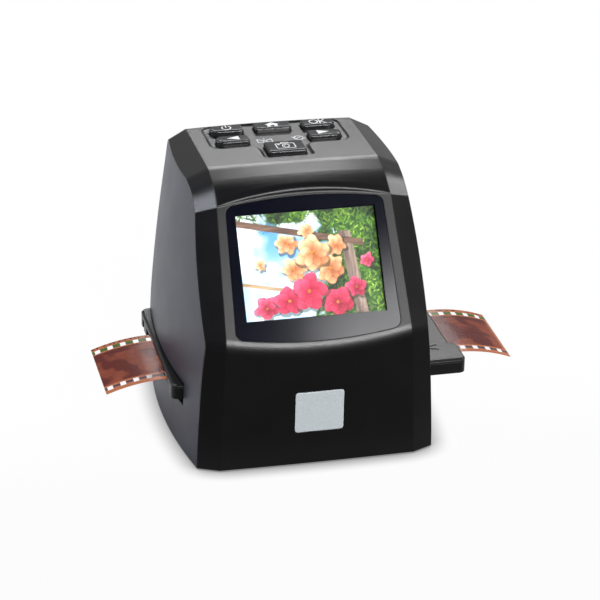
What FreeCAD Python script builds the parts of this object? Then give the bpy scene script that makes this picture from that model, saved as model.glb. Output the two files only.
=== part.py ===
"""Desktop film negative scanner: a wedge shaped housing with a tilted screen and six keys on top, and a
film adapter that slides in from the right and out again. The origin is on the table under the middle of
the housing; +X is to the user's right, -Y towards the user, +Z up. All lengths are in millimetres."""

import FreeCAD, Part
import math
import os

os.makedirs("parts", exist_ok=True)

V = FreeCAD.Vector

# Housing, seen from the side: front foot, knee, screen slope, brow, crease, flat top and rear wall
pad_stand = 0.6
skin = 2.2
knee_room = 1.96
brow_step_run = 7.06
brow_step_rise = 5.2
brow_run = 9.7
brow_drop = 2.3
rear_margin = 3.2
top_fall = 1.34
knee_radius = 8.0
brow_radius = 20.0
crease_radius = 12.0
rear_radius = 5.0
least_radius = 0.8

# Crown of the cover's middle line against its two long edges
crown_foot = 0.4
crown_knee = 2.0
crown_top = 0.4
crown_rear = 0.3
brow_drop_mid = 1.35

# Bevel strips that run up the front and over the top on both sides
bevel_room = 4.46
bevel_lean = 4.51
bevel_width = 7.4
bevel_drop = 3.45
bevel_overreach = 2.06
seam_drop = 3.9

# Bulging sides: half width and crown station at heights above the table
side_outset = 11.94
side_bow_radius = 217.0
side_skin = 2.0
loft_overreach = 4.7
side_stations_shares = (
    (0.00, 1.0000, 0.050),
    (0.18, 0.9946, 0.071),
    (0.36, 0.9785, 0.090),
    (0.52, 0.9453, 0.096),
    (0.66, 0.9077, 0.105),
    (0.78, 0.8691, 0.116),
    (0.88, 0.8326, 0.139),
    (1.00, 0.7768, 0.185),
)
side_reach_share = 0.65

# Screen slope: everything behind the window lies on this tilted frame
screen_tilt = 33.69
screen_height = 68.25
window_stand = 3.0
brow_gap_edge = 0.3
brow_gap_mid = 1.2
lip_edge = 0.4
lip_mid = 1.25
nose_radius = 1.5
brow_bulge_radius = 6.0
bulge_run_share = 0.29
bulge_rise_edge_share = 0.41
bulge_rise_mid_share = 0.67
picture_width = 48.96
picture_height = 36.72
sight_margin = 0.7
glass_thickness = 1.5
glass_sink = 0.1
glass_gap = 0.12
glass_border_top = 2.84
glass_border_bottom = 5.84
glass_side_top = 3.02
glass_side_bottom = 4.32
glass_rise_top = 2.2
glass_rise_bottom = 2.5
glass_corner = 3.0
module_side = 4.52
module_border_top = 1.64
module_border_bottom = 3.14
module_thickness = 2.8
holder_wall = 1.0
holder_wall_top = 0.8
holder_tongue = 4.3
holder_gap = 0.2
holder_floor = 1.6
holder_front_gap = 0.2
holder_screw_half = 24.0
holder_screw_gap = 0.2

# Keys on the top face, placed from the crease
key_row_gap = 4.2
key_row_rear = 34.4
key_row_front = 23.5
key_row_capture = 12.8
key_depth = 6.0
key_corner = 1.0
key_round = 2.9
capture_width = 13.8
capture_depth = 10.0
home_width = 13.2
key_stand = 1.6
key_edge = 0.8
key_hole_gap = 0.25
key_travel = 0.8
key_flange = 0.8
key_flange_lip = 0.7
key_play = 0.1
plateau_sink = 0.4
plateau_soft = 2.0
plateau_rise = 3.0
plateau_margin = 2.5
plateau_front = 16.8
plateau_rear = 41.2
plateau_corner = 5.0
nose_half = 9.6
nose_front = 4.6
nose_corner = 2.5

# Key board and its switches
switch_side = 6.0
switch_height = 2.5
switch_gap = 0.1
key_board_thickness = 1.2
key_board_front = 4.0
key_board_rear = 39.0
key_post_radius = 2.5
key_post_inset = 1.15
key_post_gap = 3.0
key_post_front = 7.0
key_post_rear = 36.0

# Badge plate on the lower front
badge_width = 17.1
badge_height = 15.4
badge_thickness = 0.7
badge_corner = 1.0
badge_centre = 20.4
badge_stand = 0.2
badge_gap = 0.05

# Film and the adapter that carries it
film_width = 35.0
film_thickness = 0.14
film_left_run = 22.8
film_right_run = 20.5
film_left_bend = 62.8
film_right_bend = 52.0
film_left_start = 0.8
film_right_start = 0.9
perforation_pitch = 4.75
perforation_length = 1.98
perforation_width = 2.79
perforation_inset = 3.41
perforation_first = 2.0
frame_width = 36.4
frame_height = 24.4
adapter_underside = 20.0
adapter_left_out = 1.2
adapter_right_out = 8.9
adapter_grip = 2.9
adapter_front_margin = 8.3
adapter_rear_margin = 19.6
adapter_base_thickness = 4.3
adapter_lid_thickness = 1.3
adapter_corner = 2.5
adapter_bevel = 0.7
grip_depth = 13.5
channel_depth = 0.3
channel_gap = 0.1
film_lift = 0.05
mouth_depth = 4.0
mouth_thickness = 2.2
mouth_front_block = 2.6
mouth_rear_block = 5.0
mouth_rear_tab = 4.8
mouth_rear_slot = 2.5
arrow_size = 3.6
arrow_line = 0.5
arrow_depth = 0.3
arrow_inset_x = 6.0
arrow_inset_y = 10.5
rib_thickness = 1.5
rib_width = 20.0
rib_drop = 1.3
hinge_pin_radius = 0.75
hinge_pin_length = 9.0
hinge_pin_inset = 1.7
hinge_pin_gap = 0.03
hinge_pin_x_share = 0.62
latch_width = 8.0
latch_thickness = 0.9
latch_height = 3.6
latch_x_share = 0.42

# Guide that the adapter slides in, and the slots in both side panels
guide_room_x = 4.1
guide_room_rear = 1.9
guide_wall = 1.6
guide_floor = 1.8
guide_lip = 3.0
guide_lip_thickness = 1.6
guide_gap = 0.3
guide_window_margin = 1.8
leg_side = 5.0
leg_inset_front = 4.9
leg_inset_rear = 15.8
slot_below = 2.4
slot_above = 0.6
slot_end_gap = 0.5
detent_length = 16.0
detent_width = 4.0
detent_thickness = 0.3
detent_rise = 0.2

# Backlight under the film
base_thickness = 2.2
box_wall = 1.8
box_ledge = 2.2
box_floor = 1.5
diffuser_margin = 9.8
diffuser_thickness = 2.0
diffuser_gap = 0.2
light_board_gap = 2.0
board_thickness = 1.2
lamp_length = 3.5
lamp_width = 2.8
lamp_height = 1.2
lamp_columns = 3
lamp_rows = 2

# Optical tower over the film
flange_rim = 1.5
flange_thickness = 2.0
tower_foot_margin = 4.3
tower_neck_half = 11.0
tower_rise = 24.5
tower_wall = 1.8
shoulder_thickness = 3.0
neck_height = 11.0
barrel_radius = 6.0
barrel_length = 16.0
barrel_fit = 0.05
barrel_bore = 4.2
barrel_rim_radius = 7.5
barrel_rim = 1.5
lens_thickness = 2.0
sensor_board_half = 12.5
sensor_side = 8.0
sensor_height = 1.4

# Main board and the sockets in the rear cover
main_board_inset = 12.6
main_board_bottom = 31.0
main_board_under_top = 12.3
main_board_gap = 4.8
chip_side = 14.0
chip_height = 1.4
chip_rise = 25.0
post_radius = 3.0
board_post_inset_x = 5.0
board_post_inset = 4.5
usb_width = 7.7
usb_height = 4.0
usb_inset = 16.0
socket_rise = 11.0
usb_bore = 0.7
jack_radius = 3.4
jack_bore_radius = 1.8
jack_body = 7.0
jack_to_card = 7.0
card_width = 26.0
card_height = 3.2
card_bore_height = 2.1
card_bore_width = 24.2
card_inset = 16.0
socket_gap = 0.25
socket_sink = 0.4
flex_width = 10.0
flex_thickness = 0.2
flex_gap = 0.15
screen_flex_inset = 8.0
screen_flex_drop = 11.0

# Screws, base plate and the rubber pad that the scanner stands on
screw_radius = 1.4
screw_fit = 0.05
screw_head_radius = 2.8
screw_head = 1.4
screw_bite = 6.0
small_screw_radius = 1.0
small_head_radius = 1.9
small_head = 1.2
small_bite = 4.0
recess_radius = 0.9
recess_depth = 0.6
case_post_radius = 3.2
case_post_height = 10.0
case_post_inset_x = 13.6
case_post_inset = 10.0
web_thickness = 1.6
pad_to_screw = 1.2
pad_inset_y = 8.8
pad_corner = 6.0
pad_sink = 0.5

overrun = 6.0

# The screen's outlines, from the picture outwards
tilt = math.radians(screen_tilt)
glass_top = picture_height / 2 + glass_border_top
glass_bottom = picture_height / 2 + glass_border_bottom
glass_half_top = picture_width / 2 + glass_side_top
glass_half_bottom = picture_width / 2 + glass_side_bottom
module_width = picture_width + 2 * module_side
module_top = picture_height / 2 + module_border_top
module_bottom = picture_height / 2 + module_border_bottom
holder_width = module_width + 2 * (holder_gap + holder_wall)
holder_top = module_top + holder_gap + holder_wall_top
holder_bottom = module_bottom + holder_gap + holder_tongue
holder_screw_up = module_bottom + key_post_radius + holder_screw_gap

# The housing, wrapped round the screen and the keys
brow_root_edge = glass_top + brow_gap_edge
brow_root_mid = glass_top + glass_rise_top + brow_gap_mid
knee_v = -glass_bottom - knee_room
screen_setback = window_stand * math.cos(tilt) - knee_v * math.sin(tilt)
root_setback = screen_setback + brow_root_edge * math.sin(tilt) - window_stand * math.cos(tilt)
root_height = screen_height + brow_root_edge * math.cos(tilt) + window_stand * math.sin(tilt)
knee_height = screen_height + knee_v * math.cos(tilt) + window_stand * math.sin(tilt)
crease_setback = root_setback + brow_step_run + brow_run
crease_height = root_height + brow_step_rise + brow_drop
body_depth = crease_setback + plateau_rear + rear_margin
loft_height = crease_height + loft_overreach
front_y = -body_depth / 2
rear_y = body_depth / 2
crease_y = front_y + crease_setback
screen_y = front_y + screen_setback
base_top = pad_stand + base_thickness
top_slope = top_fall / (rear_y - crease_y)
bevel_slope = bevel_lean / crease_height
bevel_foot_half = holder_width / 2 + bevel_room
bevel_reach = side_outset + bevel_overreach
side_half = bevel_foot_half + side_outset
key_post_x = bevel_foot_half - bevel_lean - key_post_inset
key_board_half = key_post_x + key_post_radius
key_row_half = key_post_x - key_post_radius - key_post_gap - key_flange_lip
key_width = key_row_half - home_width / 2 - key_row_gap
key_pitch_x = key_row_half - key_width / 2
plateau_half = key_row_half + key_flange_lip + plateau_margin

# The film's path, set off from the rear wall and both sides
guide_half = side_half - side_skin - guide_room_x
guide_rear = rear_y - skin - guide_room_rear
adapter_rear = guide_rear - guide_wall - guide_gap
film_rear = adapter_rear - adapter_rear_margin
film_front = film_rear - film_width
film_centre_y = film_front + film_width / 2
adapter_front = film_front - adapter_front_margin
guide_front = adapter_front - guide_gap - guide_wall
adapter_left = side_half + adapter_left_out
adapter_right = side_half + adapter_right_out
leg_x = guide_half - leg_side / 2
lid_bottom = adapter_underside + adapter_base_thickness
lid_top = lid_bottom + adapter_lid_thickness
film_bottom = lid_bottom - channel_depth + film_lift
guide_floor_top = adapter_underside - guide_gap
guide_floor_bottom = guide_floor_top - guide_floor
lip_bottom = lid_top + guide_gap
lip_top = lip_bottom + guide_lip_thickness
diffuser_half_x = frame_width / 2 + diffuser_margin
diffuser_half_y = frame_height / 2 + diffuser_margin
box_half_x = diffuser_half_x + diffuser_gap + box_wall
box_half_y = diffuser_half_y + diffuser_gap + box_wall
light_board_half_x = box_half_x - box_wall - box_ledge - light_board_gap
light_board_half_y = box_half_y - box_wall - box_ledge - light_board_gap
tower_foot_half_x = frame_width / 2 + tower_foot_margin
tower_foot_half_y = frame_height / 2 + tower_foot_margin
flange_half = tower_foot_half_x + flange_rim
tower_shoulder = lip_top + flange_thickness + tower_rise
cover_inner_rear = rear_y - seam_drop
key_under = -skin - key_play - key_flange
switch_top = key_under - key_travel - switch_gap
board_top_local = switch_top - switch_height
main_board_back = rear_y - skin - main_board_gap
neck_top = tower_shoulder + shoulder_thickness + neck_height
main_board_half = side_half - main_board_inset
main_board_top = crease_height - main_board_under_top
board_post_x = main_board_half - board_post_inset_x
chip_centre_z = main_board_bottom + chip_rise
socket_z = main_board_bottom + socket_rise
usb_centre_x = usb_inset - main_board_half
card_centre_x = main_board_half - card_inset
jack_centre_x = card_centre_x - card_width / 2 - jack_to_card
screen_flex_x = main_board_half - screen_flex_inset
case_post_x = side_half - case_post_inset_x
pad_half_x = case_post_x - screw_head_radius - pad_to_screw
pad_half_y = body_depth / 2 - pad_inset_y

SCREEN = FreeCAD.Placement(V(0, screen_y, screen_height), FreeCAD.Rotation(V(1, 0, 0), 90 - screen_tilt))
TOP = FreeCAD.Placement(
    V(0, crease_y, crease_height), FreeCAD.Rotation(V(1, 0, 0), -math.degrees(math.atan(top_slope)))
)
front_lean = math.atan((crown_knee - crown_foot) / (knee_height - pad_stand))
FRONT = FreeCAD.Placement(
    V(0, front_y - crown_foot, pad_stand), FreeCAD.Rotation(V(1, 0, 0), 90 + math.degrees(front_lean))
)


def block(x0, x1, y0, y1, z0, z1):
    """A box between two corners."""
    return Part.makeBox(x1 - x0, y1 - y0, z1 - z0, V(x0, y0, z0))


def rod(radius, x, y, z0, z1):
    """An upright cylinder."""
    return Part.makeCylinder(radius, z1 - z0, V(x, y, z0))


def rod_y(radius, x, z, y0, y1):
    """A cylinder that lies along Y."""
    return Part.makeCylinder(radius, y1 - y0, V(x, y0, z), V(0, 1, 0))


def rod_x(radius, y, z, x0, x1):
    """A cylinder that lies along X."""
    return Part.makeCylinder(radius, x1 - x0, V(x0, y, z), V(1, 0, 0))


def upright_edges(shape, height):
    """The edges of a slab that run through its thickness."""
    found = []
    for edge in shape.Edges:
        a = edge.Vertexes[0].Point
        b = edge.Vertexes[-1].Point
        if abs(abs(a.z - b.z) - height) < height / 1000 and math.hypot(a.x - b.x, a.y - b.y) < height / 1000:
            found.append(edge)
    return found


def slab(x0, x1, y0, y1, z0, z1, corner):
    """A flat box with rounded upright corners, the radius limited by the box itself."""
    body = block(x0, x1, y0, y1, z0, z1)
    radius = min(corner, 0.49 * (x1 - x0), 0.49 * (y1 - y0))
    return body.makeFillet(radius, upright_edges(body, z1 - z0))


def fused(shapes):
    """One solid from pieces that touch or overlap."""
    body = shapes[0].fuse(shapes[1:])
    return body.removeSplitter()


def cut_all(body, tools):
    """The body with all tools taken away."""
    return body.cut(tools)


def group(shapes):
    """Several separate solids in one node."""
    return Part.makeCompound(shapes)


def placed(shape, frame):
    """A copy of the shape moved from local axes into the given frame."""
    copy = shape.copy()
    copy.Placement = frame.multiply(copy.Placement)
    return copy


def save(shape, name):
    """Write one node and say how large it is."""
    shape.exportStep("parts/" + name + ".step")
    print(name, "solids", len(shape.Solids), "volume", round(shape.Volume, 1), "valid", shape.isValid())


def slope_point(v, n):
    """The side view place of a point v up the screen slope and n out of it."""
    y = screen_y + v * math.sin(tilt) - n * math.cos(tilt)
    z = screen_height + v * math.cos(tilt) + n * math.sin(tilt)
    return y, z


def meet(p, q, r, s):
    """Where the line through p and q meets the line through r and s."""
    ay, az = q[0] - p[0], q[1] - p[1]
    by, bz = s[0] - r[0], s[1] - r[1]
    t = ((r[0] - p[0]) * bz - (r[1] - p[1]) * by) / (ay * bz - az * by)
    return p[0] + t * ay, p[1] + t * az


def edge_outline(floor):
    """The cover's side view along its bevel edges, from the front foot over the top to the rear foot."""
    slope = (slope_point(0, window_stand), slope_point(1, window_stand))
    knee = meet((front_y, 0), (front_y, crease_height), slope[0], slope[1])
    root = slope_point(brow_root_edge, window_stand)
    brow = (crease_y - brow_run, crease_height - brow_drop)
    crease = (crease_y, crease_height)
    rear_top = (rear_y, crease_height - top_fall)
    return [(front_y, floor), knee, root, brow, crease, rear_top, (rear_y, floor)]


def outline_radii(drop):
    """Corner radii of the side view, smaller where the outline is set in."""
    radii = (knee_radius, least_radius, brow_radius, crease_radius, rear_radius)
    return [max(radius - drop, least_radius) for radius in radii]


def lipped_outline(middle):
    """The side view with the brow's bulging nose, at the bevel edges or on the middle line."""
    points = edge_outline(pad_stand)
    if middle:
        foot = (front_y - crown_foot, pad_stand)
        lean_top = (front_y - crown_knee, knee_height)
        slope = (slope_point(0, window_stand), slope_point(1, window_stand))
        points[0] = foot
        points[1] = meet(foot, lean_top, slope[0], slope[1])
        points[2] = slope_point(brow_root_mid, window_stand)
        points[3] = (crease_y - brow_run, crease_height + crown_top - brow_drop_mid)
        points[4] = (crease_y, crease_height + crown_top)
        points[5] = (rear_y + crown_rear, crease_height - top_fall + crown_top)
        points[6] = (rear_y + crown_rear, pad_stand)
    root, brow = points[2], points[3]
    lip = lip_mid if middle else lip_edge
    rise_share = bulge_rise_mid_share if middle else bulge_rise_edge_share
    bulge = (root[0] + bulge_run_share * (brow[0] - root[0]), root[1] + rise_share * (brow[1] - root[1]))
    points[3:3] = [(root[0], root[1] + lip), bulge]
    return points


def inset(points, drop, floor):
    """The side view with every line but the floor moved inwards."""
    lines = []
    for p, q in zip(points, points[1:]):
        length = math.hypot(q[0] - p[0], q[1] - p[1])
        ny, nz = (q[1] - p[1]) / length * drop, (p[0] - q[0]) / length * drop
        lines.append(((p[0] + ny, p[1] + nz), (q[0] + ny, q[1] + nz)))
    ground = ((front_y, floor), (rear_y, floor))
    result = [meet(*lines[0], *ground)]
    for first, second in zip(lines, lines[1:]):
        result.append(meet(*first, *second))
    result.append(meet(*lines[-1], *ground))
    return result


def rounded_wire(points, radii, place):
    """A closed wire through the points, rounded at all but its two floor corners."""
    edges = []
    start = place(*points[0])
    for i, radius in enumerate(radii, start=1):
        before, corner, after = points[i - 1], points[i], points[i + 1]
        back = (before[0] - corner[0], before[1] - corner[1])
        ahead = (after[0] - corner[0], after[1] - corner[1])
        back_length, ahead_length = math.hypot(*back), math.hypot(*ahead)
        b = (back[0] / back_length, back[1] / back_length)
        a = (ahead[0] / ahead_length, ahead[1] / ahead_length)
        half_open = math.acos(max(-1, min(1, a[0] * b[0] + a[1] * b[1]))) / 2
        reach = min(radius / math.tan(half_open), 0.45 * back_length, 0.45 * ahead_length)
        radius = reach * math.tan(half_open)
        middle = (a[0] + b[0], a[1] + b[1])
        size = math.hypot(*middle)
        depth = (radius / math.sin(half_open) - radius) / size
        entry = place(corner[0] + b[0] * reach, corner[1] + b[1] * reach)
        leave = place(corner[0] + a[0] * reach, corner[1] + a[1] * reach)
        apex = place(corner[0] + middle[0] * depth, corner[1] + middle[1] * depth)
        edges.append(Part.LineSegment(start, entry).toShape())
        edges.append(Part.Arc(entry, apex, leave).toShape())
        start = leave
    last, first = place(*points[-1]), place(*points[0])
    edges.append(Part.LineSegment(start, last).toShape())
    edges.append(Part.LineSegment(last, first).toShape())
    return Part.Wire(edges)


def leaning(side, offset):
    """Places side view points on a plane that leans in with height, off the middle by the bevel edge."""
    return lambda y, z: V(side * (bevel_foot_half + offset - bevel_slope * z), y, z)


def cover_block():
    """The cover's solid: a crowned middle and a bevel strip on each side, wide enough for the sides."""
    radii = outline_radii(0)
    lipped_radii = [radii[0], least_radius / 2, nose_radius, brow_bulge_radius] + radii[2:]
    edge = lipped_outline(False)
    middle = lipped_outline(True)
    wires = [
        rounded_wire(edge, lipped_radii, leaning(-1, 0)),
        rounded_wire(middle, lipped_radii, lambda y, z: V(0, y, z)),
        rounded_wire(edge, lipped_radii, leaning(1, 0)),
    ]
    pieces = [Part.makeLoft(wires, True, False)]
    plain = edge_outline(pad_stand)
    drop = bevel_drop * bevel_reach / bevel_width
    low = inset(plain, drop, pad_stand)
    for side in (-1, 1):
        inner = rounded_wire(plain, outline_radii(0), leaning(side, 0))
        outer = rounded_wire(low, outline_radii(drop), leaning(side, bevel_reach))
        pieces.append(Part.makeLoft([inner, outer], True, True))
    return fused(pieces)


def side_block(wall):
    """The bulging block whose left and right faces are the housing's sides, set in by a wall."""
    wires = []
    reach = body_depth * side_reach_share
    for height_share, width_share, crown_share in side_stations_shares:
        z = loft_height * height_share
        half = side_half * width_share - wall
        crown = body_depth * crown_share
        front = half - side_bow_radius + math.sqrt(side_bow_radius**2 - (reach + crown) ** 2)
        rear = half - side_bow_radius + math.sqrt(side_bow_radius**2 - (reach - crown) ** 2)
        corners = [V(front, -reach, z), V(rear, reach, z), V(-rear, reach, z), V(-front, -reach, z)]
        edges = [
            Part.Arc(corners[0], V(half, crown, z), corners[1]).toShape(),
            Part.LineSegment(corners[1], corners[2]).toShape(),
            Part.Arc(corners[2], V(-half, crown, z), corners[3]).toShape(),
            Part.LineSegment(corners[3], corners[0]).toShape(),
        ]
        wires.append(Part.Wire(edges))
    return Part.makeLoft(wires, True, False)


def prism(drop, floor, half):
    """The side view set in by a drop and drawn straight across the housing."""
    outline = inset(edge_outline(pad_stand), drop, floor)
    wire = rounded_wire(outline, outline_radii(drop), lambda y, z: V(-half, y, z))
    return Part.Face(wire).extrude(V(2 * half, 0, 0))


def cover_hollow():
    """The room inside the covers between the two bevel edges."""
    outline = inset(edge_outline(pad_stand), skin, base_top)
    wires = [rounded_wire(outline, outline_radii(skin), leaning(side, 0)) for side in (-1, 1)]
    return Part.makeLoft(wires, True, True)


def glass_shape(gap, n0, n1):
    """The window's outline, arched above and below, between two heights over the screen plane."""
    top, bottom = glass_top + gap, -glass_bottom - gap
    half_top, half_bottom = glass_half_top + gap, glass_half_bottom + gap
    plan = [(-half_top, top), (half_top, top), (half_bottom, bottom), (-half_bottom, bottom)]
    corners = [V(x, y, n0) for x, y in plan]
    edges = [
        Part.Arc(corners[0], V(0, top + glass_rise_top, n0), corners[1]).toShape(),
        Part.LineSegment(corners[1], corners[2]).toShape(),
        Part.Arc(corners[2], V(0, bottom - glass_rise_bottom, n0), corners[3]).toShape(),
        Part.LineSegment(corners[3], corners[0]).toShape(),
    ]
    body = Part.Face(Part.Wire(edges)).extrude(V(0, 0, n1 - n0))
    body = body.makeFillet(glass_corner, upright_edges(body, n1 - n0))
    return placed(body, SCREEN)


def key_outlines():
    """Each key's name, centre, size and which of its ends is round."""
    left, right = -key_pitch_x, key_pitch_x
    return [
        ("key_power", left, key_row_rear, key_width, key_depth, -1),
        ("key_home", 0, key_row_rear, home_width, key_depth, 0),
        ("key_ok", right, key_row_rear, key_width, key_depth, 1),
        ("key_left", left, key_row_front, key_width, key_depth, -1),
        ("key_right", right, key_row_front, key_width, key_depth, 1),
        ("key_capture", 0, key_row_capture, capture_width, capture_depth, 0),
    ]


def key_slab(outline, grow, z0, z1):
    """A key's outline grown by a gap or lip, between two heights in the top face's frame."""
    name, x, y, width, depth, round_end = outline
    half_x, half_y = width / 2 + grow, depth / 2 + grow
    body = block(x - half_x, x + half_x, y - half_y, y + half_y, z0, z1)
    big, small = [], []
    for edge in upright_edges(body, z1 - z0):
        toward = edge.Vertexes[0].Point.x - x
        (big if round_end * toward > 0 else small).append(edge)
    if big:
        body = body.makeFillet(min(key_round + grow, 0.49 * depth + grow), big)
        edges = upright_edges(body, z1 - z0)
        small = [e for e in edges if round_end * (e.Vertexes[0].Point.x - x) < -half_x / 2]
    return body.makeFillet(key_corner, small)


def key_cap(outline):
    """A key cap with softened top edges and the flange that keeps it in the cover."""
    cap = key_slab(outline, 0, key_under, key_stand)
    rim = [e for e in cap.Edges if min(v.Point.z for v in e.Vertexes) > key_stand - key_edge]
    cap = cap.makeFillet(key_edge, rim)
    flange = key_slab(outline, key_flange_lip, key_under, key_under + key_flange)
    return placed(fused([cap, flange]), TOP)


def plateau():
    """The shallow field that the keys stand in: a wide part, a nose round the capture key, a soft rim."""
    z0, z1 = -plateau_sink, plateau_rise
    wide = slab(-plateau_half, plateau_half, plateau_front, plateau_rear, z0, z1, plateau_corner)
    nose = slab(-nose_half, nose_half, nose_front, plateau_front + plateau_corner, z0, z1, nose_corner)
    body = fused([wide, nose])
    near = nose_corner / 2
    inner = []
    for edge in upright_edges(body, z1 - z0):
        point = edge.Vertexes[0].Point
        if abs(abs(point.x) - nose_half) < near and abs(point.y - plateau_front) < near:
            inner.append(edge)
    body = body.makeFillet(nose_corner, inner)
    rim = [e for e in body.Edges if max(v.Point.z for v in e.Vertexes) < z0 + plateau_sink]
    return placed(body.makeFillet(plateau_soft, rim), TOP)


def case_post_places():
    """Where the four case screws stand."""
    inner = body_depth / 2 - case_post_inset
    return [(x, y) for y in (-inner, inner) for x in (-case_post_x, case_post_x)]


def case_post(x, y):
    """A screw post that grows out of the front or rear cover, with its web and its bore."""
    top = base_top + case_post_height
    side = math.copysign(1, y)
    wall = side * (body_depth / 2 - skin / 2)
    y0, y1 = min(y, wall), max(y, wall)
    post = rod(case_post_radius, x, y, base_top, top)
    web = block(x - web_thickness / 2, x + web_thickness / 2, y0, y1, base_top, top)
    bore = rod(screw_radius + screw_fit, x, y, base_top, top - skin)
    return fused([post, web]).cut(bore)


def key_post_places():
    """Where the key board's four posts hang, in the top face's frame."""
    return [(x, y) for y in (key_post_front, key_post_rear) for x in (-key_post_x, key_post_x)]


def key_posts():
    """Posts under the top that carry the key board."""
    posts = []
    for x, y in key_post_places():
        post = rod(key_post_radius, x, y, board_top_local, -skin / 2)
        posts.append(placed(post.cut(rod(small_screw_radius + screw_fit, x, y, board_top_local, -skin)), TOP))
    return posts


def holder_bosses():
    """Two bosses behind the cover that the screen holder is screwed to."""
    bosses = []
    back = -module_thickness
    front = window_stand - skin / 2
    for x in (-holder_screw_half, holder_screw_half):
        boss = rod(key_post_radius, x, -holder_screw_up, back, front)
        bore = rod(small_screw_radius + screw_fit, x, -holder_screw_up, back, window_stand - skin)
        bosses.append(placed(boss.cut(bore), SCREEN))
    return bosses


def badge_slab(gap, sink, stand):
    """The badge's outline on the leaning lower front, sunk and standing out by the given amounts."""
    half_x, half_z = badge_width / 2 + gap, badge_height / 2 + gap
    shape = slab(-half_x, half_x, badge_centre - half_z, badge_centre + half_z, -sink, stand, badge_corner)
    return placed(shape, FRONT)


def front_cover(shell):
    """Front, bevels and top in one wrap, with the window, the keys' field and the badge's recess."""
    cover = shell.common(block(-side_half, side_half, front_y - overrun, cover_inner_rear, 0, loft_height))
    solid_posts = [case_post(x, y) for x, y in case_post_places() if y < 0] + key_posts() + holder_bosses()
    cover = fused([cover] + solid_posts)
    sight = slab(
        -picture_width / 2 - sight_margin,
        picture_width / 2 + sight_margin,
        -picture_height / 2 - sight_margin,
        picture_height / 2 + sight_margin,
        -skin,
        window_stand + overrun,
        key_corner,
    )
    glass_seat = window_stand - glass_sink - glass_thickness
    tools = [placed(sight, SCREEN), glass_shape(glass_gap, glass_seat, window_stand + overrun), plateau()]
    for outline in key_outlines():
        tools.append(placed(key_slab(outline, key_hole_gap, key_under, plateau_rise), TOP))
    tools.append(badge_slab(badge_gap, badge_thickness - badge_stand, overrun))
    return cut_all(cover, tools)


def socket_cuts():
    """Openings in the rear cover for the three sockets."""
    y0, y1 = main_board_back, rear_y + overrun
    g = socket_gap
    usb = block(
        usb_centre_x - usb_width / 2 - g,
        usb_centre_x + usb_width / 2 + g,
        y0,
        y1,
        socket_z - usb_height / 2 - g,
        socket_z + usb_height / 2 + g,
    )
    jack = rod_y(jack_radius + g, jack_centre_x, socket_z, y0, y1)
    card = block(
        card_centre_x - card_width / 2 - g,
        card_centre_x + card_width / 2 + g,
        y0,
        y1,
        socket_z - card_height / 2 - g,
        socket_z + card_height / 2 + g,
    )
    return [usb, jack, card]


def board_post_places():
    """Where the main board's four posts stand on the rear cover."""
    z0, z1 = main_board_bottom + board_post_inset, main_board_top - board_post_inset
    return [(x, z) for z in (z0, z1) for x in (-board_post_x, board_post_x)]


def rear_cover(shell):
    """The rear wall with its bevels, the main board's posts and the sockets' openings."""
    cover = shell.common(block(-side_half, side_half, cover_inner_rear, rear_y + overrun, 0, loft_height))
    posts = [case_post(x, y) for x, y in case_post_places() if y > 0]
    for x, z in board_post_places():
        post = rod_y(post_radius, x, z, main_board_back, rear_y - skin / 2)
        posts.append(post.cut(rod_y(small_screw_radius + screw_fit, x, z, main_board_back, rear_y - skin)))
    return cut_all(fused([cover] + posts), socket_cuts())


def side_panel(outer, inner, side):
    """One bulging side with the slot that the film adapter passes through."""
    walls = outer.cut(inner)
    half = block(0, loft_height, front_y - overrun, rear_y + overrun, 0, loft_height)
    if side < 0:
        half.translate(V(-loft_height, 0, 0))
    slot = block(
        -loft_height,
        loft_height,
        adapter_front - slot_end_gap,
        adapter_rear + slot_end_gap,
        adapter_underside - slot_below,
        lid_top + slot_above,
    )
    return walls.common(half).cut(slot)


def base_plate(room):
    """The floor of the housing, with sunk holes for the case screws and a recess for the pad."""
    plate = room.common(block(-side_half, side_half, front_y, rear_y, pad_stand, base_top))
    tools = []
    for x, y in case_post_places():
        tools.append(rod(screw_radius + screw_fit, x, y, 0, base_top))
        tools.append(rod(screw_head_radius + screw_fit, x, y, 0, pad_stand + screw_head))
    tools.append(slab(-pad_half_x, pad_half_x, -pad_half_y, pad_half_y, 0, pad_stand + pad_sink, pad_corner))
    return cut_all(plate, tools)


def screw(radius, head_radius, head, length):
    """A pan head screw along Z, its head below zero and its shank above, with a cross recess."""
    body = fused([rod(radius, 0, 0, 0, length), rod(head_radius, 0, 0, -head, 0)])
    w, d = radius / 3, recess_depth
    body = body.cut(block(-recess_radius, recess_radius, -w / 2, w / 2, -head, d - head))
    return body.cut(block(-w / 2, w / 2, -recess_radius, recess_radius, -head, d - head))


def case_screws():
    """Four screws up through the base plate into the covers' posts."""
    length = base_thickness - screw_head + screw_bite
    one = screw(screw_radius, screw_head_radius, screw_head, length)
    return group([one.translated(V(x, y, pad_stand + screw_head)) for x, y in case_post_places()])


def small_screws(places, frame, length):
    """Small screws at the given places of a frame, heads on its far side."""
    one = screw(small_screw_radius, small_head_radius, small_head, length)
    return group([placed(one.translated(V(*place)), frame) for place in places])


def screen_module():
    """The flat screen module; its picture face is the screen plane."""
    half = module_width / 2
    return placed(block(-half, half, -module_bottom, module_top, -module_thickness, 0), SCREEN)


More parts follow.
